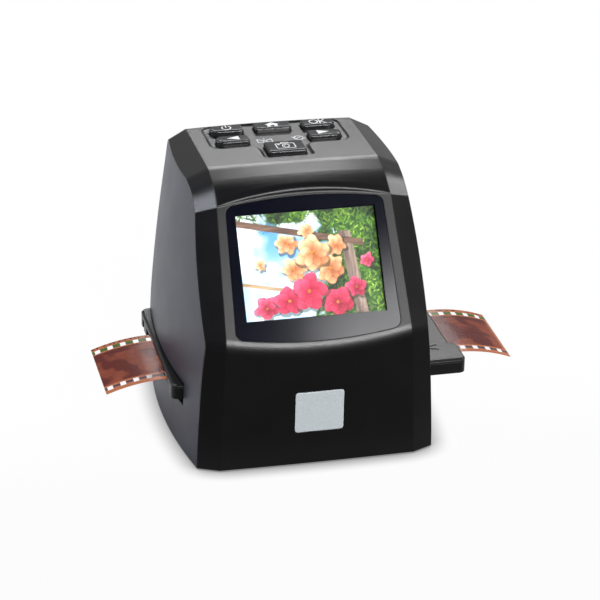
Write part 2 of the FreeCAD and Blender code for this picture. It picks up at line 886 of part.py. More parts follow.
def screen_holder():
    """The tray that presses the screen module to the cover."""
    half = holder_width / 2
    back = -module_thickness - holder_floor
    front = window_stand - skin - holder_front_gap
    tray = block(-half, half, -holder_bottom, holder_top, back, front)
    g = holder_gap
    wide = module_width / 2 + g
    pocket = block(-wide, wide, -module_bottom - g, module_top + g, -module_thickness, front)
    low_room = block(-half, half, -holder_bottom, -module_bottom - g, -module_thickness, front)
    tools = [pocket, low_room]
    for x in (-holder_screw_half, holder_screw_half):
        tools.append(rod(small_screw_radius + screw_fit, x, -holder_screw_up, back, 0))
    return placed(cut_all(tray, tools), SCREEN)


def key_board():
    """The board under the keys."""
    bottom = board_top_local - key_board_thickness
    board = block(-key_board_half, key_board_half, key_board_front, key_board_rear, bottom, board_top_local)
    holes = [rod(small_screw_radius + screw_fit, x, y, bottom, board_top_local) for x, y in key_post_places()]
    return placed(cut_all(board, holes), TOP)


def key_switches():
    """One push switch under each key."""
    half = switch_side / 2
    depth_half = min(switch_side, key_depth) / 2
    found = []
    for name, x, y, width, depth, round_end in key_outlines():
        body = block(x - half, x + half, y - depth_half, y + depth_half, board_top_local, switch_top)
        found.append(placed(body, TOP))
    return group(found)


def guide_frame():
    """The channel that the adapter slides in: floor, two walls with lips, and four legs."""
    x0, x1 = -guide_half, guide_half
    floor = block(x0, x1, guide_front, guide_rear, guide_floor_bottom, guide_floor_top)
    front_wall = block(x0, x1, guide_front, guide_front + guide_wall, guide_floor_top, lip_top)
    rear_wall = block(x0, x1, guide_rear - guide_wall, guide_rear, guide_floor_top, lip_top)
    reach = guide_wall + guide_lip
    front_lip = block(x0, x1, guide_front, guide_front + reach, lip_bottom, lip_top)
    rear_lip = block(x0, x1, guide_rear - reach, guide_rear, lip_bottom, lip_top)
    pieces = [floor, front_wall, rear_wall, front_lip, rear_lip]
    half = leg_side / 2
    for y in (guide_front + leg_inset_front, guide_rear - leg_inset_rear):
        for x in (-leg_x, leg_x):
            pieces.append(block(x - half, x + half, y - half, y + half, base_top, guide_floor_bottom))
    window = block(
        -frame_width / 2 - guide_window_margin,
        frame_width / 2 + guide_window_margin,
        film_centre_y - frame_height / 2 - guide_window_margin,
        film_centre_y + frame_height / 2 + guide_window_margin,
        guide_floor_bottom,
        guide_floor_top,
    )
    tools = [window, detent_pocket()]
    for x, y in flange_screw_places():
        tools.append(rod(small_screw_radius + screw_fit, x, y, lip_bottom, lip_top))
    return cut_all(fused(pieces), tools)


def flange_screw_places():
    """Where the tower's foot is screwed to the guide's lips."""
    x = flange_half - small_head_radius - small_head
    inset_y = (guide_wall + guide_lip) / 2
    return [(side * x, y) for y in (guide_front + inset_y, guide_rear - inset_y) for side in (-1, 1)]


def detent_place():
    """The near left corner of the detent strip in the guide's floor."""
    x = (frame_width / 2 + guide_window_margin + guide_half) / 2 - detent_width / 2
    return x, film_centre_y - detent_length / 2


def detent_pocket():
    """The shallow pocket in the guide's floor that holds the detent strip."""
    x, y = detent_place()
    z0, z1 = guide_floor_top - detent_thickness, guide_floor_top
    return block(x, x + detent_width, y, y + detent_length, z0, z1)


def detent_spring():
    """A thin strip with a low dome that holds the adapter at its stop."""
    x, y = detent_place()
    strip = detent_pocket()
    half = detent_width / 2
    radius = (half**2 + detent_rise**2) / (2 * detent_rise)
    centre = V(x + half, y + detent_length / 2 - half, guide_floor_top + detent_rise - radius)
    roll = Part.makeCylinder(radius, detent_width, centre, V(0, 1, 0))
    z0, z1 = guide_floor_top, guide_floor_top + detent_rise
    cap = roll.common(block(x, x + detent_width, y, y + detent_length, z0, z1))
    return fused([strip, cap])


def light_box():
    """The open box under the film that holds the lamps and the diffuser."""
    y0, y1 = film_centre_y - box_half_y, film_centre_y + box_half_y
    body = block(-box_half_x, box_half_x, y0, y1, base_top, guide_floor_bottom)
    ledge = guide_floor_bottom - diffuser_thickness
    wall = box_wall + box_ledge
    low = block(-box_half_x + wall, box_half_x - wall, y0 + wall, y1 - wall, base_top + box_floor, ledge)
    g = diffuser_gap
    high = block(
        -diffuser_half_x - g,
        diffuser_half_x + g,
        film_centre_y - diffuser_half_y - g,
        film_centre_y + diffuser_half_y + g,
        ledge,
        guide_floor_bottom,
    )
    return cut_all(body, [low, high])


def diffuser():
    """The milky plate that spreads the light under the film."""
    half_x, half_y = diffuser_half_x, diffuser_half_y
    z0, z1 = guide_floor_bottom - diffuser_thickness, guide_floor_bottom
    return block(-half_x, half_x, film_centre_y - half_y, film_centre_y + half_y, z0, z1)


def light_board():
    """The lamps' board on the light box's floor."""
    z0 = base_top + box_floor
    half_x, half_y, y = light_board_half_x, light_board_half_y, film_centre_y
    return block(-half_x, half_x, y - half_y, y + half_y, z0, z0 + board_thickness)


def lamps():
    """Small white lamps in rows on their board."""
    z0 = base_top + box_floor + board_thickness
    lamp = block(-lamp_length / 2, lamp_length / 2, -lamp_width / 2, lamp_width / 2, z0, z0 + lamp_height)
    found = []
    for row in range(lamp_rows):
        for column in range(lamp_columns):
            x = light_board_half_x * (2 * (column + 0.5) / lamp_columns - 1)
            y = film_centre_y + light_board_half_y * (2 * (row + 0.5) / lamp_rows - 1)
            found.append(lamp.translated(V(x, y, 0)))
    return group(found)


def rectangle_at(half_x, half_y, z):
    """A closed rectangle about the optical axis at one height."""
    turns = [(-1, -1), (1, -1), (1, 1), (-1, 1), (-1, -1)]
    return Part.makePolygon([V(a * half_x, film_centre_y + b * half_y, z) for a, b in turns])


def tower_shell(wall):
    """The tower's tapering part, set in by a wall."""
    foot = rectangle_at(tower_foot_half_x - wall, tower_foot_half_y - wall, lip_top + flange_thickness)
    neck = rectangle_at(tower_neck_half - wall, tower_neck_half - wall, tower_shoulder)
    return Part.makeLoft([foot, neck], True, True)


def optical_tower():
    """The dark tower over the film: foot plate, taper, shoulder for the lens and neck for the sensor."""
    flange_top = lip_top + flange_thickness
    y = film_centre_y
    flange = block(-flange_half, flange_half, guide_front, guide_rear, lip_top, flange_top)
    shell = tower_shell(0)
    h, i = tower_neck_half, tower_neck_half - tower_wall
    neck = block(-h, h, y - h, y + h, tower_shoulder, neck_top)
    hollow = block(-i, i, y - i, y + i, tower_shoulder + shoulder_thickness, neck_top)
    sight = block(
        -tower_foot_half_x + tower_wall,
        tower_foot_half_x - tower_wall,
        y - tower_foot_half_y + tower_wall,
        y + tower_foot_half_y - tower_wall,
        lip_top,
        flange_top,
    )
    bore = rod(barrel_radius + barrel_fit, 0, y, tower_shoulder, tower_shoulder + shoulder_thickness)
    tools = [tower_shell(tower_wall), hollow, sight, bore]
    for sx, sy in flange_screw_places():
        tools.append(rod(small_screw_radius + screw_fit, sx, sy, lip_top, flange_top))
    return cut_all(fused([flange, shell, neck]), tools)


def lens_barrel():
    """The lens tube in the tower's shoulder, with the rim that it hangs by."""
    seat = tower_shoulder + shoulder_thickness
    z0, z1 = seat + barrel_rim - barrel_length, seat + barrel_rim
    y = film_centre_y
    body = fused([rod(barrel_radius, 0, y, z0, z1), rod(barrel_rim_radius, 0, y, seat, z1)])
    return body.cut(rod(barrel_bore, 0, y, z0, z1))


def lens_elements():
    """Two lenses in the barrel, one at each end."""
    seat = tower_shoulder + shoulder_thickness
    low = seat + barrel_rim - barrel_length + barrel_rim
    y = film_centre_y
    return group([rod(barrel_bore, 0, y, z, z + lens_thickness) for z in (low, seat - lens_thickness)])


def sensor_board():
    """The small board that closes the tower's neck."""
    h, y = sensor_board_half, film_centre_y
    return block(-h, h, y - h, y + h, neck_top, neck_top + board_thickness)


def image_sensor():
    """The sensor chip, face down over the lens."""
    h, y = sensor_side / 2, film_centre_y
    return block(-h, h, y - h, y + h, neck_top - sensor_height, neck_top)


def sensor_cable():
    """The flat ribbon from the sensor board to the main board."""
    y0, y1 = film_centre_y + sensor_board_half, main_board_back - board_thickness
    z0 = neck_top + board_thickness / 2
    return block(-flex_width / 2, flex_width / 2, y0, y1, z0, z0 + flex_thickness)


def screen_cable():
    """The flat ribbon from the screen holder to the main board, past the tower."""
    y0, z0 = slope_point(-screen_flex_drop, -module_thickness - holder_floor)
    y1 = main_board_back - board_thickness
    half = flex_width / 2
    return block(screen_flex_x - half, screen_flex_x + half, y0 + flex_gap, y1, z0, z0 + flex_thickness)


def main_board():
    """The upright main board on the rear cover's posts."""
    half = main_board_half
    y0, y1 = main_board_back - board_thickness, main_board_back
    board = block(-half, half, y0, y1, main_board_bottom, main_board_top)
    bore = small_screw_radius + screw_fit
    return cut_all(board, [rod_y(bore, x, z, y0, y1) for x, z in board_post_places()])


def main_chips():
    """The processor and its memory on the main board's front face."""
    y1 = main_board_back - board_thickness
    y0 = y1 - chip_height
    h = chip_side / 2
    z = chip_centre_z
    processor = block(-h, h, y0, y1, z - h, z + h)
    memory = block(-h - chip_side, -h - h / 2, y0, y1, z - h / 2, z + h / 2)
    return group([processor, memory])


def usb_socket():
    """The small data and power socket."""
    x, z = usb_centre_x, socket_z
    hw, hh = usb_width / 2, usb_height / 2
    bw, bh = hw - usb_bore, hh - usb_bore
    y0, y1 = main_board_back + board_thickness, rear_y - socket_sink
    body = block(x - hw, x + hw, main_board_back, y1, z - hh, z + hh)
    bore = block(x - bw, x + bw, y0, y1, z - bh, z + bh)
    tongue = block(x - hw / 2, x + hw / 2, y0, y1 - board_thickness, z - usb_bore / 2, z + usb_bore / 2)
    return fused([body.cut(bore), tongue])


def video_jack():
    """The round video socket: a square body on the board and its collar."""
    y1 = rear_y - socket_sink
    h = jack_body / 2
    x, z = jack_centre_x, socket_z
    inner = rear_y - skin - socket_gap
    square = block(x - h, x + h, main_board_back, inner, z - h, z + h)
    body = fused([square, rod_y(jack_radius, x, z, inner, y1)])
    return body.cut(rod_y(jack_bore_radius, x, z, main_board_back + board_thickness, y1))


def card_socket():
    """The flat socket for a memory card."""
    hw, hh = card_width / 2, card_height / 2
    bw, bh = card_bore_width / 2, card_bore_height / 2
    x, z = card_centre_x, socket_z
    y1 = rear_y - socket_sink
    body = block(x - hw, x + hw, main_board_back, y1, z - hh, z + hh)
    return body.cut(block(x - bw, x + bw, main_board_back + board_thickness, y1, z - bh, z + bh))


def adapter_outline(z0, z1):
    """The adapter's plan: a long plate with a short grip at the front right."""
    plate = slab(-adapter_left, adapter_right, adapter_front, adapter_rear, z0, z1, adapter_corner)
    grip_end = adapter_right + adapter_grip
    grip_back = adapter_front + grip_depth
    grip = slab(adapter_right - grip_depth, grip_end, adapter_front, grip_back, z0, z1, adapter_corner)
    return fused([plate, grip])


def frame_window(z0, z1):
    """The opening over one picture of the film."""
    y = film_centre_y
    return block(-frame_width / 2, frame_width / 2, y - frame_height / 2, y + frame_height / 2, z0, z1)


def pin_places():
    """Start and end of the adapter's two hinge pins."""
    middle = (adapter_right - adapter_left) / 2
    half = (adapter_right + adapter_left) / 2 * hinge_pin_x_share
    starts = [middle + side * half - hinge_pin_length / 2 for side in (-1, 1)]
    return [(start, start + hinge_pin_length) for start in starts]


def pin_grooves():
    """Grooves for the hinge pins, half in the base and half in the lid."""
    y = adapter_rear - hinge_pin_inset
    r = hinge_pin_radius + hinge_pin_gap
    return [rod_x(r, y, lid_bottom, x0 - hinge_pin_gap, x1 + hinge_pin_gap) for x0, x1 in pin_places()]


def latch_blocks():
    """The two catches let into the adapter's front edge."""
    middle = (adapter_right - adapter_left) / 2
    half = (adapter_right + adapter_left) / 2 * latch_x_share
    y1 = adapter_front + latch_thickness
    z1 = lid_top - adapter_bevel
    found = []
    for side in (-1, 1):
        x0 = middle + side * half - latch_width / 2
        found.append(block(x0, x0 + latch_width, adapter_front, y1, z1 - latch_height, z1))
    return found


def mouth_reliefs():
    """Room under the film at the adapter's two ends, between the blocks that close its rails."""
    z1 = lid_top - mouth_thickness
    z0 = adapter_underside
    tab_front = adapter_rear - mouth_rear_tab
    block_rear = tab_front - mouth_rear_slot
    spans = [(film_front - mouth_front_block, block_rear - mouth_rear_block), (block_rear, tab_front)]
    found = []
    for y0, y1 in spans:
        found.append(block(-adapter_left, -adapter_left + mouth_depth, y0, y1, z0, z1))
        y0 = max(y0, adapter_front + grip_depth)
        found.append(block(adapter_right - mouth_depth, adapter_right, y0, y1, z0, z1))
    return found


def adapter_base():
    """The adapter's lower half: rails, film channel, picture window and the stop rib underneath."""
    body = adapter_outline(adapter_underside, lid_bottom)
    reach = adapter_left + adapter_right + adapter_grip
    g = channel_gap
    channel = block(-reach, reach, film_front - g, film_rear + g, lid_bottom - channel_depth, lid_bottom)
    tools = [channel, frame_window(adapter_underside, lid_bottom)] + pin_grooves() + latch_blocks()
    body = cut_all(body, tools + mouth_reliefs())
    x0 = guide_half + guide_gap
    half = rib_width / 2
    y = film_centre_y
    rib = block(x0, x0 + rib_thickness, y - half, y + half, adapter_underside - rib_drop, adapter_underside)
    return fused([body, rib])


def arrow():
    """A plain arrow head, drawn as two strokes in the lid near its grip, pointing into the housing."""
    x = adapter_right - arrow_inset_x - arrow_size
    y = adapter_front + arrow_inset_y
    strokes = []
    half = arrow_line / 2
    for side in (-1, 1):
        bar = block(-half, arrow_size * math.sqrt(2), -half, half, -arrow_depth, overrun)
        bar.rotate(V(0, 0, 0), V(0, 0, 1), side * math.degrees(math.atan(0.4)))
        strokes.append(bar.translated(V(x, y, lid_top)))
    return fused(strokes)


def adapter_lid():
    """The adapter's upper half, with its softened rim, picture window and arrow."""
    body = adapter_outline(lid_bottom, lid_top)
    rim = [e for e in body.Edges if min(v.Point.z for v in e.Vertexes) > lid_top - adapter_bevel / 2]
    body = body.makeChamfer(adapter_bevel, rim)
    return cut_all(body, [frame_window(lid_bottom, lid_top), arrow()] + pin_grooves() + latch_blocks())


def hinge_pins():
    """The two pins that the adapter's lid turns on."""
    y = adapter_rear - hinge_pin_inset
    return group([rod_x(hinge_pin_radius, y, lid_bottom, x0, x1) for x0, x1 in pin_places()])


def film_profile(x, z, bend, run, side):
    """The middle and the end of the arc that a film end droops in."""
    points = []
    for share in (0.5, 1.0):
        turn = run * share / bend
        points.append(V(x + side * bend * math.sin(turn), 0, z - bend * (1 - math.cos(turn))))
    return points


def film_ribbon(thick_bottom, y0, y1):
    """The film's band: level inside the adapter and drooping in an arc at each end."""
    t = film_thickness
    x_left = -adapter_left + film_left_start
    x_right = adapter_right + adapter_grip - film_right_start
    low, high = thick_bottom, thick_bottom + t
    lower_left = film_profile(x_left, low, film_left_bend, film_left_run, -1)
    lower_right = film_profile(x_right, low, film_right_bend, film_right_run, 1)
    grow_left = (film_left_bend + t) / film_left_bend
    grow_right = (film_right_bend + t) / film_right_bend
    upper_left = film_profile(x_left, high, film_left_bend + t, film_left_run * grow_left, -1)
    upper_right = film_profile(x_right, high, film_right_bend + t, film_right_run * grow_right, 1)
    edges = [
        Part.Arc(lower_left[1], lower_left[0], V(x_left, 0, low)).toShape(),
        Part.LineSegment(V(x_left, 0, low), V(x_right, 0, low)).toShape(),
        Part.Arc(V(x_right, 0, low), lower_right[0], lower_right[1]).toShape(),
        Part.LineSegment(lower_right[1], upper_right[1]).toShape(),
        Part.Arc(upper_right[1], upper_right[0], V(x_right, 0, high)).toShape(),
        Part.LineSegment(V(x_right, 0, high), V(x_left, 0, high)).toShape(),
        Part.Arc(V(x_left, 0, high), upper_left[0], upper_left[1]).toShape(),
        Part.LineSegment(upper_left[1], lower_left[1]).toShape(),
    ]
    face = Part.Face(Part.Wire(edges))
    face.translate(V(0, y0, 0))
    return face.extrude(V(0, y1 - y0, 0))


def film_place(distance):
    """Place and slope of the film at a distance from its left end."""
    x_left = -adapter_left + film_left_start
    x_right = adapter_right + adapter_grip - film_right_start
    level = x_right - x_left
    z = film_bottom + film_thickness / 2
    if distance < film_left_run:
        turn = (film_left_run - distance) / film_left_bend
        return x_left - film_left_bend * math.sin(turn), z - film_left_bend * (1 - math.cos(turn)), turn
    if distance > film_left_run + level:
        turn = (distance - film_left_run - level) / film_right_bend
        return x_right + film_right_bend * math.sin(turn), z - film_right_bend * (1 - math.cos(turn)), -turn
    return x_left + distance - film_left_run, z, 0


def film_strip():
    """The strip of film with its two rows of perforations."""
    band = film_ribbon(film_bottom, film_front, film_rear)
    level = adapter_left + adapter_right + adapter_grip - film_left_start - film_right_start
    total = film_left_run + level + film_right_run
    tools = []
    count = int((total - perforation_first - perforation_length / 2) / perforation_pitch) + 1
    hl, hw = perforation_length / 2, perforation_width / 2
    for i in range(count):
        x, z, turn = film_place(perforation_first + i * perforation_pitch)
        for y in (film_front + perforation_inset, film_rear - perforation_inset):
            hole = block(-hl, hl, -hw, hw, -film_width / 20, film_width / 20)
            hole.rotate(V(0, 0, 0), V(0, 1, 0), -math.degrees(turn))
            tools.append(hole.translated(V(x, y, z)))
    return cut_all(band, tools)


def main():
    """Build every piece and write it."""
    outer = cover_block()
    sides = side_block(0)
    body = outer.common(sides)
    middle = prism(seam_drop, 0, loft_height)
    inner = side_block(side_skin)
    shell = cut_all(body, [middle, cover_hollow()])
    room = middle.common(inner)
    panels = body.common(middle)
    save(front_cover(shell), "front_cover")
    save(rear_cover(shell), "rear_cover")
    save(side_panel(panels, inner, -1), "side_panel_left")
    save(side_panel(panels, inner, 1), "side_panel_right")
    save(base_plate(room), "base_plate")
    pad = slab(-pad_half_x, pad_half_x, -pad_half_y, pad_half_y, 0, pad_stand + pad_sink, pad_corner)
    save(pad, "base_pad")
    save(case_screws(), "case_screws")
    save(badge_slab(0, badge_thickness - badge_stand, badge_stand), "badge_plate")
    seat = window_stand - glass_sink - glass_thickness
    save(glass_shape(0, seat, seat + glass_thickness), "window_glass")
    save(screen_module(), "screen_module")
    save(screen_holder(), "screen_holder")
    back = -module_thickness - holder_floor
    holder_places = [(x, -holder_screw_up, back) for x in (-holder_screw_half, holder_screw_half)]
    save(small_screws(holder_places, SCREEN, small_bite), "screen_screws")
    for outline in key_outlines():
        save(key_cap(outline), outline[0])
    save(key_board(), "key_board")
    save(key_switches(), "key_switches")
    low = board_top_local - key_board_thickness
    save(small_screws([(x, y, low) for x, y in key_post_places()], TOP, small_bite), "key_board_screws")
    save(guide_frame(), "guide_frame")
    save(detent_spring(), "detent_spring")
    save(light_box(), "light_box")
    save(diffuser(), "diffuser")
    save(light_board(), "light_board")
    save(lamps(), "lamps")
    save(optical_tower(), "optical_tower")
    turned = FreeCAD.Placement(V(0, 0, lip_top + flange_thickness), FreeCAD.Rotation(V(1, 0, 0), 180))
    through = flange_thickness + guide_lip_thickness - guide_gap
    save(small_screws([(x, -y, 0) for x, y in flange_screw_places()], turned, through), "tower_screws")
    save(lens_barrel(), "lens_barrel")
    save(lens_elements(), "lens_elements")
    save(sensor_board(), "sensor_board")
    save(image_sensor(), "image_sensor")
    save(sensor_cable(), "sensor_cable")
    save(screen_cable(), "screen_cable")
    save(main_board(), "main_board")
    save(main_chips(), "main_chips")
    upright = FreeCAD.Placement(V(0, main_board_back - board_thickness, 0), FreeCAD.Rotation(V(1, 0, 0), -90))
    save(small_screws([(x, -z, 0) for x, z in board_post_places()], upright, small_bite), "main_board_screws")
    save(usb_socket(), "usb_socket")
    save(video_jack(), "video_jack")
    save(card_socket(), "card_socket")
    save(adapter_base(), "adapter_base")
    save(adapter_lid(), "adapter_lid")
    save(hinge_pins(), "adapter_hinge_pins")
    save(group(latch_blocks()), "adapter_latches")
    save(film_strip(), "film_strip")


main()
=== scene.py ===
"""A desktop film negative scanner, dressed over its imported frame: a dark wedge shaped housing with a tilted
screen, six gloss keys on top, and an adapter through both sides with a strip of colour negative in it."""

import math

import bpy
import numpy as np
from mathutils import Matrix, Vector


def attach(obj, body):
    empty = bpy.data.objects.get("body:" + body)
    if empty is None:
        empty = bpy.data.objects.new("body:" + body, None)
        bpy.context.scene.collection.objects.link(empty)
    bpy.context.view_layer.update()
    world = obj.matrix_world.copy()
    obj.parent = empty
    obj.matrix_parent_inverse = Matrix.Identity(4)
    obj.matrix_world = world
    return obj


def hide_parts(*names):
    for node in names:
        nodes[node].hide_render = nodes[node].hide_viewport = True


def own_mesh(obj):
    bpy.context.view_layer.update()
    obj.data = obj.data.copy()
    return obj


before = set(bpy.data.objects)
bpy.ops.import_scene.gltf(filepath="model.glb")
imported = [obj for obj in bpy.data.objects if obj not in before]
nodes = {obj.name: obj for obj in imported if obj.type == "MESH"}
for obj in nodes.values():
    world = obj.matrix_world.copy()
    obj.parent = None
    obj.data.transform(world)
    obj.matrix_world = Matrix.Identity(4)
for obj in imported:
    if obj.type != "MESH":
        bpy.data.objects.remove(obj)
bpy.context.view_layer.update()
scene = bpy.context.scene

# The camera: a long lens a little to the left of the scanner and well above it, at the place that a fit
# to the film's holes, the screen and the housing's outline gave.
camera_place = Vector((-0.18808, -0.78970, 0.43047))
camera_turn = math.radians(13.623)
camera_dip = math.radians(25.563)
camera_roll = math.radians(1.018)
camera_lens = 151.92
camera_sensor = 36.0

flat_ahead = math.cos(camera_dip)
ahead = Vector((math.sin(camera_turn) * flat_ahead, math.cos(camera_turn) * flat_ahead, -math.sin(camera_dip)))
level = Vector((math.cos(camera_turn), -math.sin(camera_turn), 0))
lifted = level.cross(ahead)
right = level * math.cos(camera_roll) + lifted * math.sin(camera_roll)
upright = lifted * math.cos(camera_roll) - level * math.sin(camera_roll)
camera_data = bpy.data.cameras.new("viewpoint")
camera_data.lens = camera_lens
camera_data.sensor_width = camera_sensor
camera_data.clip_start = 0.05
camera_data.clip_end = 50.0
camera = bpy.data.objects.new("viewpoint", camera_data)
scene.collection.objects.link(camera)
camera.matrix_world = Matrix.Translation(camera_place) @ Matrix((right, upright, -ahead)).transposed().to_4x4()
scene.camera = camera
scene.view_settings.view_transform = "Standard"

# The studio: a pale table and surround, lit by soft boxes behind, above, at both sides and in front. The
# eye sees table and surround as white. The gloss sees the surround pale behind the scanner and dark before
# it, as between black cards. The table's own tone is painted shade, pale behind the scanner and dark before
# it, and the gloss sees the table glow by that tone, a painted light for it to reflect. A painted contact
# shadow, from occlusion, darkens the table's glow close to whatever stands on it.
floor_half = 6.0
floor_shade_fall = (-0.07, 0.03)
floor_rear = 0.70
floor_front_shade = 0.05
floor_glow = 0.97
floor_gloss_glow = 0.55
painted_shadow_reach = 0.008
surround_ambient = 0.12
surround_rear = 0.55
surround_front = 0.01
surround_tilt = -0.6
surround_fall = (-0.3, 0.5)


def node_adder(tree):
    """Gives a short way to add a node to a tree, with its options set and its inputs set or joined."""

    def add(kind, inputs=(), **settings):
        node = tree.nodes.new("ShaderNode" + kind)
        for key, value in settings.items():
            setattr(node, key, value)
        for socket, value in dict(inputs).items():
            if isinstance(value, bpy.types.NodeSocket):
                tree.links.new(value, node.inputs[socket])
            else:
                node.inputs[socket].default_value = value
        return node

    return add


def new_shader(name):
    """An empty material: its tree, its Principled shader, and short ways to add and to join nodes."""
    material = bpy.data.materials.new(name)
    material.use_nodes = True
    tree = material.node_tree
    surface = tree.nodes["Principled BSDF"]

    def join(source, socket):
        tree.links.new(source, surface.inputs[socket])

    return material, surface, node_adder(tree), join


floor_mesh = bpy.data.meshes.new("table")
h = floor_half
floor_mesh.from_pydata([(-h, -h, 0), (h, -h, 0), (h, h, 0), (-h, h, 0)], [], [(0, 1, 2, 3)])
table = bpy.data.objects.new("table", floor_mesh)
scene.collection.objects.link(table)
table_paint, surface, add, join = new_shader("table_paint")
place = add("SeparateXYZ", {0: add("TexCoord").outputs["Object"]}).outputs["Y"]
fall = {
    "Value": place,
    "From Min": floor_shade_fall[0],
    "From Max": floor_shade_fall[1],
    "To Min": floor_front_shade,
    "To Max": floor_rear,
}
# The table's tone: painted shade, dark before the scanner and pale behind it.
pale = add("MapRange", fall, interpolation_type="SMOOTHSTEP").outputs[0]
join(pale, "Base Color")
surface.inputs["Roughness"].default_value = 0.9
surface.inputs["Specular IOR Level"].default_value = 0.0
# Painted contact shadow: occlusion darkens the table's glow close to whatever stands on it.
near = add("AmbientOcclusion", {"Distance": painted_shadow_reach}, samples=16)
painted_contact_shadow = add("MapRange", {"Value": near.outputs["AO"], "From Min": 0.35, "From Max": 0.97, "To Min": 0.25})
glow = add("Emission", {"Strength": painted_contact_shadow.outputs["Result"]})
ray = add("LightPath").outputs
# For the gloss the table glows by its painted tone: a painted light for the covers to reflect.
painted_gloss_glow = add("Math", {0: ray["Is Glossy Ray"], 1: pale}, operation="MULTIPLY").outputs[0]
painted_gloss_glow = add("Math", {0: painted_gloss_glow, 1: floor_gloss_glow}, operation="MULTIPLY").outputs[0]
share = add("Math", {0: ray["Is Camera Ray"], 1: floor_glow, 2: painted_gloss_glow}, operation="MULTIPLY_ADD").outputs[0]
both = add("MixShader", {0: share, 1: surface.outputs[0], 2: glow.outputs[0]})
table_paint.node_tree.links.new(both.outputs[0], table_paint.node_tree.nodes["Material Output"].inputs["Surface"])
floor_mesh.materials.append(table_paint)

world = bpy.data.worlds.new("surround")
scene.world = world
world.use_nodes = True
world.node_tree.nodes.clear()
add = node_adder(world.node_tree)
direction = add("SeparateXYZ", {0: add("TexCoord").outputs["Generated"]}).outputs
raised = add("Math", {0: direction["Z"], 1: surround_tilt, 2: direction["Y"]}, operation="MULTIPLY_ADD").outputs[0]
fall = {
    "Value": raised,
    "From Min": surround_fall[0],
    "From Max": surround_fall[1],
    "To Min": surround_front,
    "To Max": surround_rear,
}
depth = add("MapRange", fall, interpolation_type="SMOOTHSTEP")
ray = add("LightPath").outputs
for_gloss = add("Mix", {0: ray["Is Glossy Ray"], 2: surround_ambient, 3: depth.outputs["Result"]})
for_glass = add("Mix", {0: ray["Is Transmission Ray"], 2: for_gloss.outputs[0], 3: 1.0})
for_sight = add("Mix", {0: ray["Is Camera Ray"], 2: for_glass.outputs[0], 3: 1.0})
background = add("Background", {"Strength": for_sight.outputs[0]})
add("OutputWorld", {"Surface": background.outputs[0]})


def soft_box(name, place, aim, width, height, power, colour=(1, 1, 1)):
    """A rectangular area lamp at a place, turned to face the aim."""
    lamp = bpy.data.lights.new(name, "AREA")
    lamp.shape = "RECTANGLE"
    lamp.size = width
    lamp.size_y = height
    lamp.energy = power
    lamp.color = colour
    holder = bpy.data.objects.new(name, lamp)
    scene.collection.objects.link(holder)
    holder.location = place
    holder.rotation_euler = (Vector(aim) - Vector(place)).to_track_quat("-Z", "Y").to_euler()
    holder.visible_camera = False


middle = (0, 0, 0.05)
cool = (0.86, 0.90, 1.0)
soft_box("box_rear", (0.27, 1.10, 0.74), middle, 0.46, 0.20, 4.1)
soft_box("box_above", (0.25, 0.95, 1.03), middle, 0.7, 0.4, 0.8)
soft_box("box_high", (0.24, 0.55, 1.16), middle, 0.7, 0.35, 0.6)
soft_box("box_left", (-1.2, 0.35, 0.50), middle, 0.8, 0.8, 11, cool)
soft_box("box_corner", (-0.60, -0.05, 1.08), middle, 0.30, 0.30, 7, cool)
soft_box("box_right", (0.95, 0.25, 0.78), middle, 0.4, 0.4, 6.5)
soft_box("box_front", (0.62, -0.85, 0.565), middle, 0.7, 0.6, 9.5)
soft_box("box_low", (0.12, -1.0, 0.50), middle, 0.6, 0.16, 12)

# The covers and side panels: injection moulded ABS in a near black with a fine spark eroded grain. The
# front cover wraps from the foot over the top, the rear cover closes it, and two bulging panels fill the
# sides. Touch has polished the outer corners a little; their paler tone is partly that wear and partly a
# painted highlight along the edges. The side panels are a lighter near black, with a bluish tint that is
# painted to match the cool light they reflect.
cover_tone = (0.0024, 0.0023, 0.0027)
# A lighter near black; its bluish tint is painted, to match the cool light that the panels reflect.
side_tone_and_painted_tint = (0.022, 0.022, 0.031)
grain_size = 2600.0
grain_height = 0.00003
edge_round = 0.0005


def tone(colour, factor=1.0):
    """A colour socket's value, made lighter or darker by a factor."""
    return [min(c * factor, 1.0) for c in colour] + [1.0]


def moulded(name, colour, roughness, shine=0.35, grain=grain_height, stretch=(1, 1, 1), size=grain_size):
    """Moulded plastic: noise as grain in normal and tone, slow patches of roughness, and paler edges, partly wear
    and partly a painted highlight.
    """
    material, surface, add, join = new_shader(name)
    spot = add("Mapping", {"Vector": add("TexCoord").outputs["Object"], "Scale": stretch}).outputs[0]
    fine = add("TexNoise", {"Vector": spot, "Scale": size, "Detail": 2.0}).outputs["Fac"]
    slow = add("TexNoise", {"Vector": spot, "Scale": 90.0, "Detail": 3.0}).outputs["Fac"]
    grained = add("MixRGB", {"Fac": fine, "Color1": tone(colour, 0.7), "Color2": tone(colour, 1.3)}).outputs[0]
    round_edge = add("Bevel", {"Radius": edge_round}, samples=4).outputs["Normal"]
    flat_face = add("NewGeometry").outputs["Normal"]
    bend = add("VectorMath", {0: round_edge, 1: flat_face}, operation="DOT_PRODUCT").outputs["Value"]
    # Paler edges, in slow patches: partly wear, partly a painted highlight along them.
    wear_and_edge_highlight = add("MapRange", {"Value": bend, "From Min": 0.995, "From Max": 0.80, "To Max": 0.6}).outputs[0]
    wear_and_edge_highlight = add("Math", {0: wear_and_edge_highlight, 1: slow}, operation="MULTIPLY").outputs[0]
    shade = add("MixRGB", {"Fac": wear_and_edge_highlight, "Color1": grained, "Color2": tone(colour, 2.6)})
    join(shade.outputs[0], "Base Color")
    rough = add("MapRange", {"Value": slow, "To Min": roughness - 0.05, "To Max": roughness + 0.05})
    join(rough.outputs[0], "Roughness")
    bump = add("Bump", {"Height": fine, "Distance": grain, "Normal": round_edge})
    join(bump.outputs[0], "Normal")
    surface.inputs["Specular IOR Level"].default_value = shine
    return material


